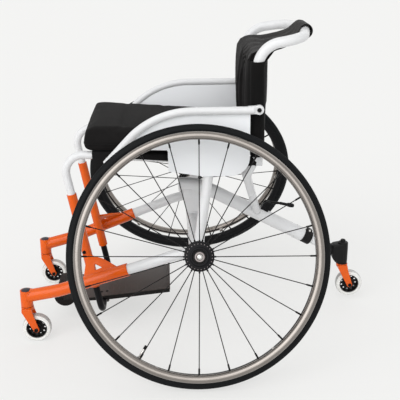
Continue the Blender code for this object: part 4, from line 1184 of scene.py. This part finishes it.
def leverMesh(pivot):
    neck, tip = pivot + Vector(rear["leverNeck"]), pivot + Vector(rear["leverTip"])
    path = filleted([pivot, neck, tip], (0.06,), 8)
    handle = sweep(path, lambda t: 0.0040 - 0.0007 * sin(pi * min(1, t * 1.4)), 20)
    start, end = tip - Vector((0.016, 0, -0.0036)), tip + Vector((0.0025, 0, -0.0006))
    bulbPath = [start.lerp(end, t / 12) for t in range(13)]
    bulb = sweep(bulbPath, lambda t: 0.0034 + 0.0026 * sin(pi * (0.12 + 0.80 * t)) ** 0.7, 20)
    turn = at(*pivot) @ about("X", pi / 2)
    cam, pin = lathe(bothEnds(rear["cam"]), 32, soft=0.0005), lathe(bothEnds(rear["pin"]), 20)
    return together(handle, bulb, (cam, turn), (pin, turn))


def rearHousingMesh():
    end = overBeam(tubes["antiTipEnds"][1])
    barrel = lathe(rear["barrel"], 56, soft=0.0006), at(layout["rearStemX"], 0, rear["foot"])
    wing = plate(rear["wing"], 0.0320, 0.0030, corner=0.0040), upright(0)
    sleeve = sweep([end - beamRun * 0.011, end - beamRun * 0.006, end], 0.0158, 40, bore=0.0127)
    return together(barrel, wing, sleeve)


piece("tubeEndClamp", collarMesh(), "blackPlastic", "frame")
for name, hand in (("clampScrewLeft", -1), ("clampScrewRight", 1)):
    spot = overBeam(layout["beamRear"][0], 0.0205) + beamRun * rear["earAlong"]
    spot.y = hand * 0.0058
    screwPlace = along(spot, spot + Vector((0, hand, 0)))
    piece(name, hexHead(0.0034, 0.0022), "polishedSteel", "frame", screwPlace)
piece("leverClamp", leverClampMesh(), "blackAlloy", "frame")
lever = leverMesh(overBeam(*rear["pivot"]))
piece("releaseLever", lever, "blackPlastic", "release_lever", None, "quick_release_lever")
piece("rearHousing", rearHousingMesh(), "blackPlastic", "anti_tip", None, "rear_caster_housing")
print("rear clamps made")


# Side guards

guard = {
    "y": 0.182,
    "thickness": 0.003,
    "rimY": 0.1865,
    "rimRadius": 0.0095,
    "corners": ((0.138, 0.5947), (-0.0978, 0.5947), (-0.2147, 0.4695)),
    "bend": 0.209,
    "rearX": 0.130,
    "frontStep": mm((-182, 504.5), (-67, 500), (-66, 447)),
    "hem": mm((20, 433), (70, 433)),
    "rearCorner": ((0.086, 0.4775), 0.044),
    "lug": (0.150, 0.596),
    "lugRadius": 0.0115,
    "lugHole": 0.0036,
}


def lugAt(side):
    return mirrored((guard["lug"][0], guard["rimY"], guard["lug"][1]), side)


def guardMesh(side):
    corners = [Vector((x, side * guard["rimY"], z)) for x, z in guard["corners"]]
    path = filleted(corners, (guard["bend"],), 28)
    outline = [(guard["rearX"], path[0].z)] + [(point.x, point.z) for point in path[1:-1]]
    outline += softened(guard["frontStep"], 0.004, False, 4) + softened(guard["hem"], 0.004)
    outline += circle(*guard["rearCorner"], 270, 360, 14)[1:]
    panel = together((plate(outline, guard["thickness"], 0.0007), upright(side * guard["y"])))
    x, y, z = lugAt(side)
    shape = [(x - 0.026, z - 0.0088), (x - 0.026, z + 0.0088)]
    shape += circle((x, z), guard["lugRadius"], 120, -120, 24)
    lug = plate(shape, 0.0120, 0.0016, [disc((x, z), guard["lugHole"], 24)])
    rim = sweep(path, guard["rimRadius"], 32)
    return panel, together(rim, (lug, upright(y)))


for label, side in sides:
    panel, rim = guardMesh(side)
    # The plates take the lighter copy of the white paint, painted light against their shade.
    piece(label + "SideGuard", panel, "guardWhite", "frame")
    piece(label + "GuardRim", rim, "whitePaint", "frame", None, label + "_side_guard")
    spot = along(lugAt(side) + Vector((0, side * 0.0058, 0)), lugAt(side) + Vector((0, side, 0)))
    shank = sweep([(0, 0, 0.001), (0, 0, -0.008), (0, 0, -0.0155)], 0.0031, 20)
    piece(label + "GuardBolt", together(hexHead(0.0052, 0.0034), shank), "blackSteel", "frame", spot)
print("side guards made")


# Footrest

foot = {
    "tube": 0.0085,
    "top": 0.250,
    "crossZ": 0.059,
    "bend": 0.024,
    "halfWidth": 0.080,
    "thickness": 0.006,
    "slope": 0.105,
    "rearX": -0.068,
    "rearLip": 0.014,
    "noseX": -0.348,
    "noseRadius": 0.029,
    "noseHeight": 0.0755,
    "saddle": mm((-13, 46.8), (-13, 70.0), (13, 71.5), (13, 46.8)),
    "saddleY": 0.055,
    "ribs": 14,
    "ribPitch": 0.0165,
}
crossX = socketX(foot["crossZ"])


def plateUnder(x, lift=0.0):
    # A point on the plate's underside, or above it.
    return x, foot["crossZ"] + foot["tube"] + 0.0003 + foot["slope"] * (x - crossX) + lift


def hangerPath():
    near = [(socketX(z), -layout["socketY"], z) for z in (foot["top"], foot["crossZ"])]
    return filleted(near + [(x, -y, z) for x, y, z in reversed(near)], (foot["bend"], foot["bend"]), 14)


def footplateMesh():
    back, nose, thick, lip = foot["rearX"], foot["noseX"], foot["thickness"], foot["rearLip"]
    lipFront = (back - 0.004, plateUnder(back, lip)[1])
    outline = [plateUnder(back), plateUnder(back, lip), lipFront, plateUnder(back - 0.006, thick + 0.001)]
    outline += [(nose - 0.004, plateUnder(nose, thick)[1]), plateUnder(nose), plateUnder(nose + 0.026)]
    parts = [(plate(outline, 2 * foot["halfWidth"], 0.0012), upright(0))]
    saddle = plate(moved(foot["saddle"], crossX, 0), 0.016, 0.0012, corner=0.005)
    parts += [(saddle, upright(hand * foot["saddleY"])) for hand in (-1, 1)]
    return together(*parts)


def noseMesh():
    # The rubber roll at the front, and black strips on the plate's long edges that hang below it; their black
    # also paints the shade on the plate's sides.
    nose, high, top = foot["noseX"], foot["noseHeight"], foot["thickness"] + 0.0008
    roll = [plateUnder(nose + 0.020, top), (nose - 0.004, plateUnder(nose, top)[1])]
    roll += [(nose - 0.012, high - 0.0035), (nose - 0.024, high - 0.0035)]
    roll += circle((nose, high), foot["noseRadius"], 188, 300, 20) + [plateUnder(nose + 0.026, -0.0008)]
    parts = [(plate(roll, 2 * foot["halfWidth"] + 0.0006, 0.0012), upright(0))]
    # Black edge strips: partly a lip below the plate, partly painted shade on its sides.
    start, middle, end = nose + 0.022, crossX + 0.020, foot["rearX"] - 0.001
    lifts = ((start, -0.6), (start, 4.0), (middle, 4.2), (end, 4.2), (end, -6.0), (middle, -6.5))
    edgeStripPaintedShade = plate([plateUnder(x, lift / 1000) for x, lift in lifts], 0.0022, 0.0006, corner=0.0015)
    parts += [(edgeStripPaintedShade, upright(hand * (foot["halfWidth"] + 0.0004))) for hand in (-1, 1)]
    return together(*parts)


def gripStrips():
    # Raised ribs across the plate, so that a sole does not slide.
    parts = []
    for index in range(foot["ribs"]):
        x, z = plateUnder(foot["rearX"] - 0.022 - foot["ribPitch"] * index, foot["thickness"])
        parts.append(sweep([(x, y, z) for y in (-0.070, -0.024, 0.024, 0.070)], 0.0009, 10))
    return together(*parts)


piece("footrestHanger", sweep(hangerPath(), foot["tube"], 28), "blackAlloy", "footrest")
piece("footPlate", footplateMesh(), "greyPlastic", "footrest", None, "footplate")
piece("footplateNose", noseMesh(), "noseRubber", "footrest")
piece("footplateRibs", gripStrips(), "greyPlastic", "footrest")
for across, hand in (("Left", -1), ("Right", 1)):
    for lengthways, shift in (("Front", -0.0075), ("Rear", 0.0075)):
        x, z = plateUnder(crossX + shift, foot["thickness"])
        spot = Vector((x, hand * foot["saddleY"], z))
        screwPlace = along(spot, spot + Vector((-foot["slope"], 0, 1)))
        name = "footplateScrew" + across + lengthways
        piece(name, hexHead(0.0038, 0.0020), "blackSteel", "footrest", screwPlace)
print("footrest made")


# Seat cushion

cushion = {
    "front": -0.272,
    "rear": 0.122,
    "halfWidth": 0.166,
    "thickness": 0.055,
    "rearDrop": 0.010,
    "crown": 0.0045,
    "drawnIn": 0.009,
    "edgeRound": 0.0022,
    "foamInset": 0.003,
    "grid": (46, 38, 8),
    "channels": (0.25, 0.50, 0.75),
    "channelWidth": 0.009,
    "channelDepth": 0.0022,
    "channelInset": 0.012,
    "channelFade": 0.030,
    "swellWidth": 0.030,
    "swellHeight": 0.0008,
    "voxel": 0.005,
    "puff": 0.004,
    "pressure": 3.0,
    "stiffness": 40,
    "frames": 14,
    "piping": 0.0015,
    "pipingHeight": 0.36,
    "pipingHalf": (0.198, 0.170),
    "pipingPoints": 120,
}


def slingTop(x):
    return railZ(x) + tubes["rail"] + 0.0005 + 0.0025


def cushionBlank():
    # The cut foam: crowned top, front drawn in under the edge, seams drawn in at half height.
    columns, rows, layers = cushion["grid"]
    length, deep, shrink = cushion["rear"] - cushion["front"], cushion["drawnIn"], cushion["foamInset"]
    work = bmesh.new()
    bmesh.ops.create_grid(work, x_segments=columns, y_segments=rows, size=0.5)
    grown = bmesh.ops.extrude_face_region(work, geom=list(work.faces))
    lifted = [part for part in grown["geom"] if isinstance(part, bmesh.types.BMVert)]
    bmesh.ops.translate(work, verts=lifted, vec=(0, 0, 1))
    walls = [edge for edge in work.edges if abs(edge.verts[0].co.z - edge.verts[1].co.z) > 0.5]
    bmesh.ops.subdivide_edges(work, edges=walls, cuts=layers, use_grid_fill=False)
    for vert in work.verts:
        u, v, w = vert.co.x + 0.5, vert.co.y * 2, vert.co.z
        x = cushion["front"] + u * length
        drawn = deep * max(0.0, 1 - w / 0.28) ** 2 + deep * max(0.0, (w - 0.35) / 0.65) ** 1.5
        crown = cushion["crown"] * (1 - v * v) * (1 - (2 * u - 1) ** 4)
        tall = cushion["thickness"] - cushion["rearDrop"] * u + crown
        edgeX, edgeY = max(0.0, 1 - (1 - abs(2 * u - 1)) * 12), max(0.0, 1 - (1 - abs(v)) * 12)
        rounding = cushion["edgeRound"] * max(edgeX, edgeY) ** 2 * (1 if w > 0.5 else 0.6)
        y = v * (cushion["halfWidth"] - drawn * 0.5 * edgeY - shrink)
        x += (drawn + shrink) * edgeX * (1 if u < 0.5 else -0.4)
        lift = (tall - rounding * (1 if w > 0.99 else 0)) * w + (rounding if w < 0.01 else 0)
        vert.co = (x, y, slingTop(x) + 0.0008 + lift)
    return meshOf(work, "seatCushion")


def applied(obj):
    mesh = settled(obj)
    obj.modifiers.clear()
    obj.data = mesh
    return mesh


def inflated(mesh):
    # The cover is blown up round the foam a little, and no point moves past the cap.
    obj = placed("cushionBlank", mesh)
    grid = obj.modifiers.new("grid", "REMESH")
    grid.mode = "VOXEL"
    grid.voxel_size = cushion["voxel"]
    # The remesh can differ in a last digit, so its points are rounded and every run starts the same.
    for vert in applied(obj).vertices:
        vert.co = [round(value, 5) for value in vert.co]
    start = [vert.co.copy() for vert in obj.data.vertices]
    soft = obj.modifiers.new("cover", "CLOTH")
    soft.settings.use_pressure = True
    soft.settings.uniform_pressure_force = cushion["pressure"]
    soft.settings.effector_weights.gravity = 0
    soft.settings.tension_stiffness = soft.settings.compression_stiffness = cushion["stiffness"]
    soft.settings.bending_stiffness = 2.0
    soft.collision_settings.use_self_collision = False
    for step in range(1, cushion["frames"] + 1):
        bpy.context.scene.frame_set(step)
    applied(obj)
    for vert, rest in zip(obj.data.vertices, start):
        move = vert.co - rest
        if move.length > cushion["puff"]:
            vert.co = rest + move.normalized() * cushion["puff"]
    bpy.context.scene.frame_set(1)
    smooth = obj.modifiers.new("smooth", "SMOOTH")
    smooth.factor = 0.5
    smooth.iterations = 3
    fine = obj.modifiers.new("fine", "SUBSURF")
    fine.levels = fine.render_levels = 1
    mesh = applied(obj)
    bpy.data.objects.remove(obj)
    return mesh


def cushionMesh():
    # Sewn channels run across the top, and the cover swells a little on both sides of each.
    mesh = inflated(cushionBlank())
    length, inside = cushion["rear"] - cushion["front"], cushion["halfWidth"] - cushion["channelInset"]
    for vert in mesh.vertices:
        x, y, z = vert.co
        vert.co.z = max(z, slingTop(x) + 0.0006)
        u, w = (x - cushion["front"]) / length, (z - slingTop(x)) / cushion["thickness"]
        if w > 0.70:
            edge = min(1.0, max(0.0, (inside - abs(y)) / cushion["channelFade"]))
            for line in cushion["channels"]:
                away = abs(u - line) * length
                groove = exp(-((away / cushion["channelWidth"]) ** 2))
                swell = exp(-((away / cushion["swellWidth"]) ** 2))
                vert.co.z -= edge * cushion["channelDepth"] * groove
                vert.co.z += edge * cushion["swellHeight"] * swell * (1 - groove)
    return mesh


def pipingPath(mesh):
    # Points on the cushion's wall at one share of its height, round a square-cornered ring.
    tree = BVHTree.FromPolygons([v.co for v in mesh.vertices], [tuple(p.vertices) for p in mesh.polygons])
    middleX = (cushion["front"] + cushion["rear"]) / 2
    power, (halfX, halfY) = 8, cushion["pipingHalf"]
    points = []
    for turn in turns(cushion["pipingPoints"]):
        reach = (abs(cos(turn)) ** power + abs(sin(turn)) ** power) ** (-1 / power)
        goal = Vector((middleX + cos(turn) * halfX * reach, sin(turn) * halfY * reach, 0))
        lift = 0.0008 + (cushion["thickness"] - 0.005) * cushion["pipingHeight"]
        goal.z = slingTop(goal.x) + lift
        spot, normal = tree.find_nearest(goal)[:2]
        if spot:
            points.append(spot + normal * 0.0002)
    return points


coverMesh = cushionMesh()
piping = sweep(pipingPath(coverMesh), cushion["piping"], 10, True)
pad = piece("seatCushion", coverMesh, "seatCloth", "frame", angle=180)
piece("cushionPiping", piping, "slingCloth", "frame", angle=180)
print("seat cushion made, vertices:", len(coverMesh.vertices))


# Seat sling

sling = {
    "stations": (-0.250, -0.240, -0.225, -0.205, -0.190, -0.150, -0.100, -0.050, 0.0, 0.060, 0.125),
    "drops": (0.060, 0.059, 0.056, 0.033, 0.015, 0.015, 0.016, 0.017, 0.018, 0.018, 0.018),
    "cut": (0.375, 0.365),
    "thickness": 0.0025,
    "edgeRound": 0.0045,
    "sag": 0.0012,
    "bandEnds": (0.1262, 0.1478),
}


def slingMesh():
    thick, turn = sling["thickness"], sling["edgeRound"]
    work = bmesh.new()
    rings = []
    for x, drop in zip(sling["stations"], sling["drops"]):
        outer = railY(x) + tubes["rail"] + 0.0006 + thick
        top = slingTop(x)
        over = [(outer * k / 12, top - sling["sag"] * (1 - (k / 12) ** 2)) for k in range(12)]
        bends = [radians(degrees) for degrees in (0, 22, 45, 68, 90)]
        over += [(outer - turn + turn * sin(a), top - turn + turn * cos(a)) for a in bends]
        over += [(outer, top - drop * t) for t in (0.55, 1.0)]
        lining = []
        for y, z in over:
            upper = z > top - 0.004
            inY = y * (outer - thick) / outer if z >= top - 0.004 else max(0, y - thick)
            lining.append((inY, z - (thick if upper else 0)))
        lining[-1] = (outer - thick, top - drop)
        over = [(-y, z) for y, z in reversed(over[1:])] + over
        lining = [(-y, z) for y, z in reversed(lining[1:])] + lining
        rings.append([work.verts.new((x, y, z)) for y, z in over + lining[::-1]])
    count = len(rings[0])
    for ring in (rings[0], rings[-1]):
        for index in range(count // 2 - 1):
            ends = (ring[index], ring[index + 1], ring[count - 2 - index], ring[count - 1 - index])
            work.faces.new(ends)
    for first, second in zip(rings, rings[1:]):
        for index in range(count):
            after = (index + 1) % count
            work.faces.new((first[index], second[index], second[after], first[after]))
    return meshOf(work, "seatSling")


slingPiece = piece("seatSling", slingMesh(), "slingCloth", "frame", angle=60)
for label, side in sides:
    start, end = (railAt(x, side) for x in sling["bandEnds"])
    band = rod(start, end, tubes["rail"] + 0.0016)
    piece(label + "SlingBand", band, "slingCloth", "frame")


def stitches(path, long=0.0030, gap=0.0022, radius=0.0003):
    # Short thread runs along a line of points.
    parts, travelled, nextStart = [], 0.0, 0.0
    for start, end in zip(path, path[1:]):
        start, end = Vector(start), Vector(end)
        reach = (end - start).length
        while nextStart + long < travelled + reach:
            if nextStart >= travelled:
                a = start.lerp(end, (nextStart - travelled) / reach)
                b = start.lerp(end, (nextStart + long - travelled) / reach)
                parts.append(rod(a, b, radius, 6, chamfer=0.0001))
            nextStart += long + gap
        travelled += reach
    return together(*parts)


# Back upholstery

back = {
    "cut": (0.400, 0.780),
    "cutArea": 0.250,
    "hem": 0.476,
    "hemDip": 0.016,
    "top": 0.705,
    "halfWidth": 0.139,
    "frontX": 0.1215,
    "frontFoot": 0.0125,
    "frontTop": 0.005,
    "rearX": 0.1668,
    "rearTop": 0.0060,
    "hollow": 0.020,
    "sleeve": 0.0162,
    "thickness": 0.0026,
    "columns": 120,
    "levels": 72,
    "sleeveSteps": 12,
    "flapOver": mm(
        (135, 719, 139), (150, 725.8, 139), (168, 728, 139), (188, 727.5, 137), (212, 732.2, 130),
        (235, 740.2, 112), (253, 752, 82),
    ),
    "flapUnder": mm((253, 745.5, 48), (235, 736.8, 72), (212, 729, 104), (190, 724.5, 128)),
    "flapSides": 14,
    "wrapCentre": (0.2785, 0.759),
    "wrapRadius": 0.0172,
    "wrapHalf": 0.042,
    "wrapTurns": (150, 105, 60, 15, -30, -75, -120),
    "ridges": ((0.88, 0.42, 0.0060), (0.66, 0.05, 0.0085), (0.42, -0.25, 0.0060)),
    "ridgeWidth": 0.066,
    "seamInsets": (0.0, 0.006),
}


def backSag(v, t):
    # How far the middle hangs rearwards, with the folds from the bar's middle down to the sides.
    hollow = back["hollow"] * (1 - v * v) * (0.6 + 0.4 * sin(pi * min(1.0, t)))
    down = max(0.0, 1 - t)
    wide = back["ridgeWidth"] * (0.75 + 0.45 * down)
    strength = 0.45 + 0.55 * sin(pi * min(1.0, 0.10 + 0.80 * down))
    folds = 0.0
    for low, high, height in back["ridges"]:
        for sign in (-1, 1):
            middle = sign * (low + (high - low) * t**4 - 0.015 * sin(8 * t + sign + 9 * low))
            folds += height * strength * exp(-((v - middle) / wide) ** 2)
    folds += 0.0007 * sin(19 * v - 4 * t) * (1 - v * v)
    return hollow - folds * min(1.0, (1 - abs(v)) / 0.08)


def backShare(height):
    return (height - back["hem"]) / (back["top"] - back["hem"])


def backFront(v, t):
    lean = back["frontFoot"] * (1 - t) ** 2.5 + back["frontTop"] * t**6
    return back["frontX"] + lean + backSag(v, t)


def acrossBack():
    # From -1 to 1, in the columns of the cloth's grid.
    return [2 * index / back["columns"] - 1 for index in range(back["columns"] + 1)]


def backRing(height):
    t, half = backShare(height), back["halfWidth"]
    rearX = back["rearX"] + back["rearTop"] * t
    share = 0.75 * min(1.0, max(0.0, (t - 0.42) / 0.12))
    front = [Vector((backFront(v, t), v * half, height)) for v in acrossBack()]
    rearSide = [Vector((rearX + share * backSag(v, t), v * half, height)) for v in reversed(acrossBack())]
    bend = backBar["bend"]
    past = max(0.0, height - (backBar["corner"][1] - 0.855 * bend))
    postX = onLine(backBar["foot"][::-1], backBar["corner"][::-1], height) + bend - sqrt(bend**2 - past**2)
    loose, steps = back["sleeve"] - 0.0003, back["sleeveSteps"]
    sleeve = circle((backBar["y"], postX), loose, -110, 110, steps)
    right = [Vector((x, y, height)) for y, x in sleeve]
    left = [mirrored(point, -1) for point in reversed(right)]
    ring = front + right + rearSide + left
    for point in ring:
        middle = max(0.0, 1 - (point.y / half) ** 2)
        point.z -= back["hemDip"] * middle * (1 - t) ** 2
    return ring


def smoothPath(path, cuts):
    # A smooth curve through all the given points, with equal cuts between each two.
    made, last = [], len(path) - 1
    for index in range(last):
        p0, p1, p2, p3 = (Vector(path[max(0, min(last, index + k))]) for k in (-1, 0, 1, 2))
        for step in range(cuts):
            t = step / cuts
            bent = (2 * p0 - 5 * p1 + 4 * p2 - p3) * t * t + (3 * p1 - p0 - 3 * p2 + p3) * t**3
            made.append(0.5 * (2 * p1 + (p2 - p0) * t + bent))
    return made + [Vector(path[-1])]


def flapRows():
    # Over the top, round the rear bar and back under: X, Z and half width.
    (centreX, centreZ), reach = back["wrapCentre"], back["wrapRadius"]
    wrap = []
    for turn in back["wrapTurns"]:
        x, z = centreX + reach * cos(radians(turn)), centreZ + reach * sin(radians(turn))
        wrap.append((x, z, back["wrapHalf"] + 0.014 * max(0, turn - 60) / 90))
    cuts = 4
    rows = []
    for index, (x, z, half) in enumerate(smoothPath(back["flapOver"] + wrap + back["flapUnder"], cuts)):
        place = index / cuts
        hang = max(0.0, 1 - abs(place - 2.5) / 4) + max(0.0, 1 - abs(place - 17) / 3)
        nearTop = max(0.0, 1 - place / 3) if place < 8 else max(0.0, (place - 15) / 3)
        crumple = 0.0020 * max(0.0, 1 - abs(place - 3) / 5)
        row = []
        for v in acrossBack():
            middle = 1 - v * v
            lift = middle * (crumple * sin(13 * v + 0.8 * place) - 0.006 * hang)
            row.append(Vector((x + 0.012 * middle * nearTop, v * half, z + lift)))
        rows.append(row)
    return rows


def backMesh():
    columns, levels = back["columns"], back["levels"]
    work = bmesh.new()
    rings = []
    for level in range(levels + 1):
        height = back["hem"] + (back["top"] - back["hem"]) * level / levels
        rings.append([work.verts.new(point) for point in backRing(height)])
    for below, above in zip(rings, rings[1:]):
        for index in range(len(below)):
            after = (index + 1) % len(below)
            work.faces.new((below[index], below[after], above[after], above[index]))
    front = rings[-1][:columns + 1]
    rearStart = columns + back["sleeveSteps"] + 2
    rearTop = list(reversed(rings[-1][rearStart:rearStart + columns + 1]))
    rows = [front] + [[work.verts.new(point) for point in row] for row in flapRows()] + [rearTop]
    for below, above in zip(rows, rows[1:]):
        for column in range(columns):
            work.faces.new((below[column], below[column + 1], above[column + 1], above[column]))
    for column, sign in ((0, -1), (columns, 1)):
        closeSide(work, rows, column, sign)
    return meshOf(work, "backUpholstery")


def closeSide(work, rows, column, sign):
    # The side of the bag, between its front, its top and the sleeve's mouth.
    edge = [row[column] for row in rows[:back["flapSides"]]]
    last, inner = rows[-1][column], rows[-2][column]
    count = 5
    lines = []
    for index, vert in enumerate(edge):
        goal = edge[0].co.lerp(last.co, index / (len(edge) - 1))
        line = [vert]
        for step in range(1, count + 1):
            share = step / count
            bulge = 0.0035 * sin(pi * share) * sin(1.5 + 0.95 * index)
            spot = vert.co.lerp(goal, share) + Vector((0, sign * bulge, 0))
            atEnd = step == count and index == len(edge) - 1
            line.append(last if atEnd else work.verts.new(spot))
        lines.append(line if index else [vert] * (count + 1))
    for before, after in zip(lines, lines[1:]):
        for step in range(count):
            corners = (before[step], before[step + 1], after[step + 1], after[step])
            corners = list(dict.fromkeys(corners))
            if len(corners) > 2:
                work.faces.new(corners)
    work.faces.new(lines[-1] + [inner])


def thickened(mesh, thickness):
    obj = placed("cloth", mesh)
    shell = obj.modifiers.new("cloth", "SOLIDIFY")
    shell.thickness = thickness
    shell.offset = 0.0
    made = applied(obj)
    bpy.data.objects.remove(obj)
    return made


def backSeams():
    parts = []
    lift = back["thickness"] / 2 - 0.0001
    reach = back["top"] - back["hem"] - 0.010
    heights = [back["hem"] + 0.004 + reach * k / 30 for k in range(31)]
    for sign in (-1, 1):
        for inset in back["seamInsets"]:
            v = sign * (1 - inset / back["halfWidth"])
            y = v * back["halfWidth"]
            parts.append(stitches([(backFront(v, backShare(z)) - lift, y, z) for z in heights]))
    return together(*parts)


cover = thickened(backMesh(), back["thickness"])
backPiece = piece("backUpholstery", cover, "backCloth", "frame", angle=70)
seamPiece = piece("backSeams", backSeams(), "sewingThread", "frame")
print("back upholstery made")


# Studio

studio = {
    "floorColour": (0.88, 0.88, 0.875),
    "seenFloor": (0.28, 0.28, 0.277),
    "floorLift": (0.600, 0.600, 0.592),
    "floorSize": 14,
    "wallColour": (0.905, 0.905, 0.895),
    "ambient": 0.69,
}
lamps = {
    "keyLight": {"from": (-0.70, -0.90, 0.95), "spread": 50, "power": 0.60},
    "fillLight": {"from": (-0.38, -1.0, 0.58), "spread": 70, "power": 1.50},
    "rimLight": {"from": (0.9, 0.9, 0.8), "spread": 60, "power": 0.30},
}
camera = {
    "at": (-0.07815, -2.028, 1.0063),
    "yaw": 0.0417915,
    "down": 0.3302059,
    "roll": -0.0075765,
    "lens": 72.0,
    "sensor": 36,
}


def softLight(name, facts):
    # A wide soft light from far away, so that the floor is lit evenly on every side.
    light = bpy.data.lights.new(name, "SUN")
    light.angle = radians(facts["spread"])
    light.energy = facts["power"]
    obj = placed(name, light)
    obj.location = Vector(facts["from"]) * 3
    obj.rotation_euler = (-Vector(facts["from"])).to_track_quat("-Z", "Y").to_euler()


def addFloor():
    work = bmesh.new()
    bmesh.ops.create_grid(work, x_segments=1, y_segments=1, size=studio["floorSize"])
    obj = placed("floor", meshOf(work, "floor"))
    plain = {"Specular_IOR_Level": 0.0, "Emission_Strength": 1.0}
    f = Finish("studioFloor", studio["floorColour"], 0.9, **plain)
    seen = f.seen()
    f.set("Base Color", f.blend(seen, studio["floorColour"], studio["seenFloor"]))
    f.set("Emission Color", f.blend(seen, (0, 0, 0), studio["floorLift"]))
    obj.data.materials.append(f.material)


def addWorld():
    world = bpy.data.worlds.new("studio")
    bpy.context.scene.world = world
    world.use_nodes = True
    world.node_tree.nodes.clear()
    w = Nodes(world.node_tree)
    even = {"Color": (1, 1, 1, 1), "Strength": studio["ambient"]}
    shade = w.add("ShaderNodeBackground", {}, even)
    wall = w.add("ShaderNodeBackground", {}, {"Color": (*studio["wallColour"], 1)})
    pick = w.add("ShaderNodeMixShader", {}, {0: w.seen(), 1: shade, 2: wall})
    w.add("ShaderNodeOutputWorld", {}, {0: pick})


def addCamera():
    yaw, down, roll = camera["yaw"], camera["down"], camera["roll"]
    ahead = Vector((sin(yaw) * cos(down), cos(yaw) * cos(down), -sin(down)))
    right = Vector((cos(yaw), -sin(yaw), 0))
    up = right.cross(ahead)
    right, up = right * cos(roll) + up * sin(roll), up * cos(roll) - right * sin(roll)
    view = bpy.data.cameras.new("camera")
    view.sensor_width = camera["sensor"]
    view.lens = camera["lens"]
    obj = placed("camera", view)
    matrix = at(*camera["at"])
    for column, axis in enumerate((right, up, -ahead)):
        matrix.col[column] = (*axis, 0)
    obj.matrix_world = matrix
    bpy.context.scene.camera = obj


for name, facts in lamps.items():
    softLight(name, facts)
addFloor()
addWorld()
addCamera()
bpy.context.scene.view_settings.view_transform = "Standard"
print("studio made")
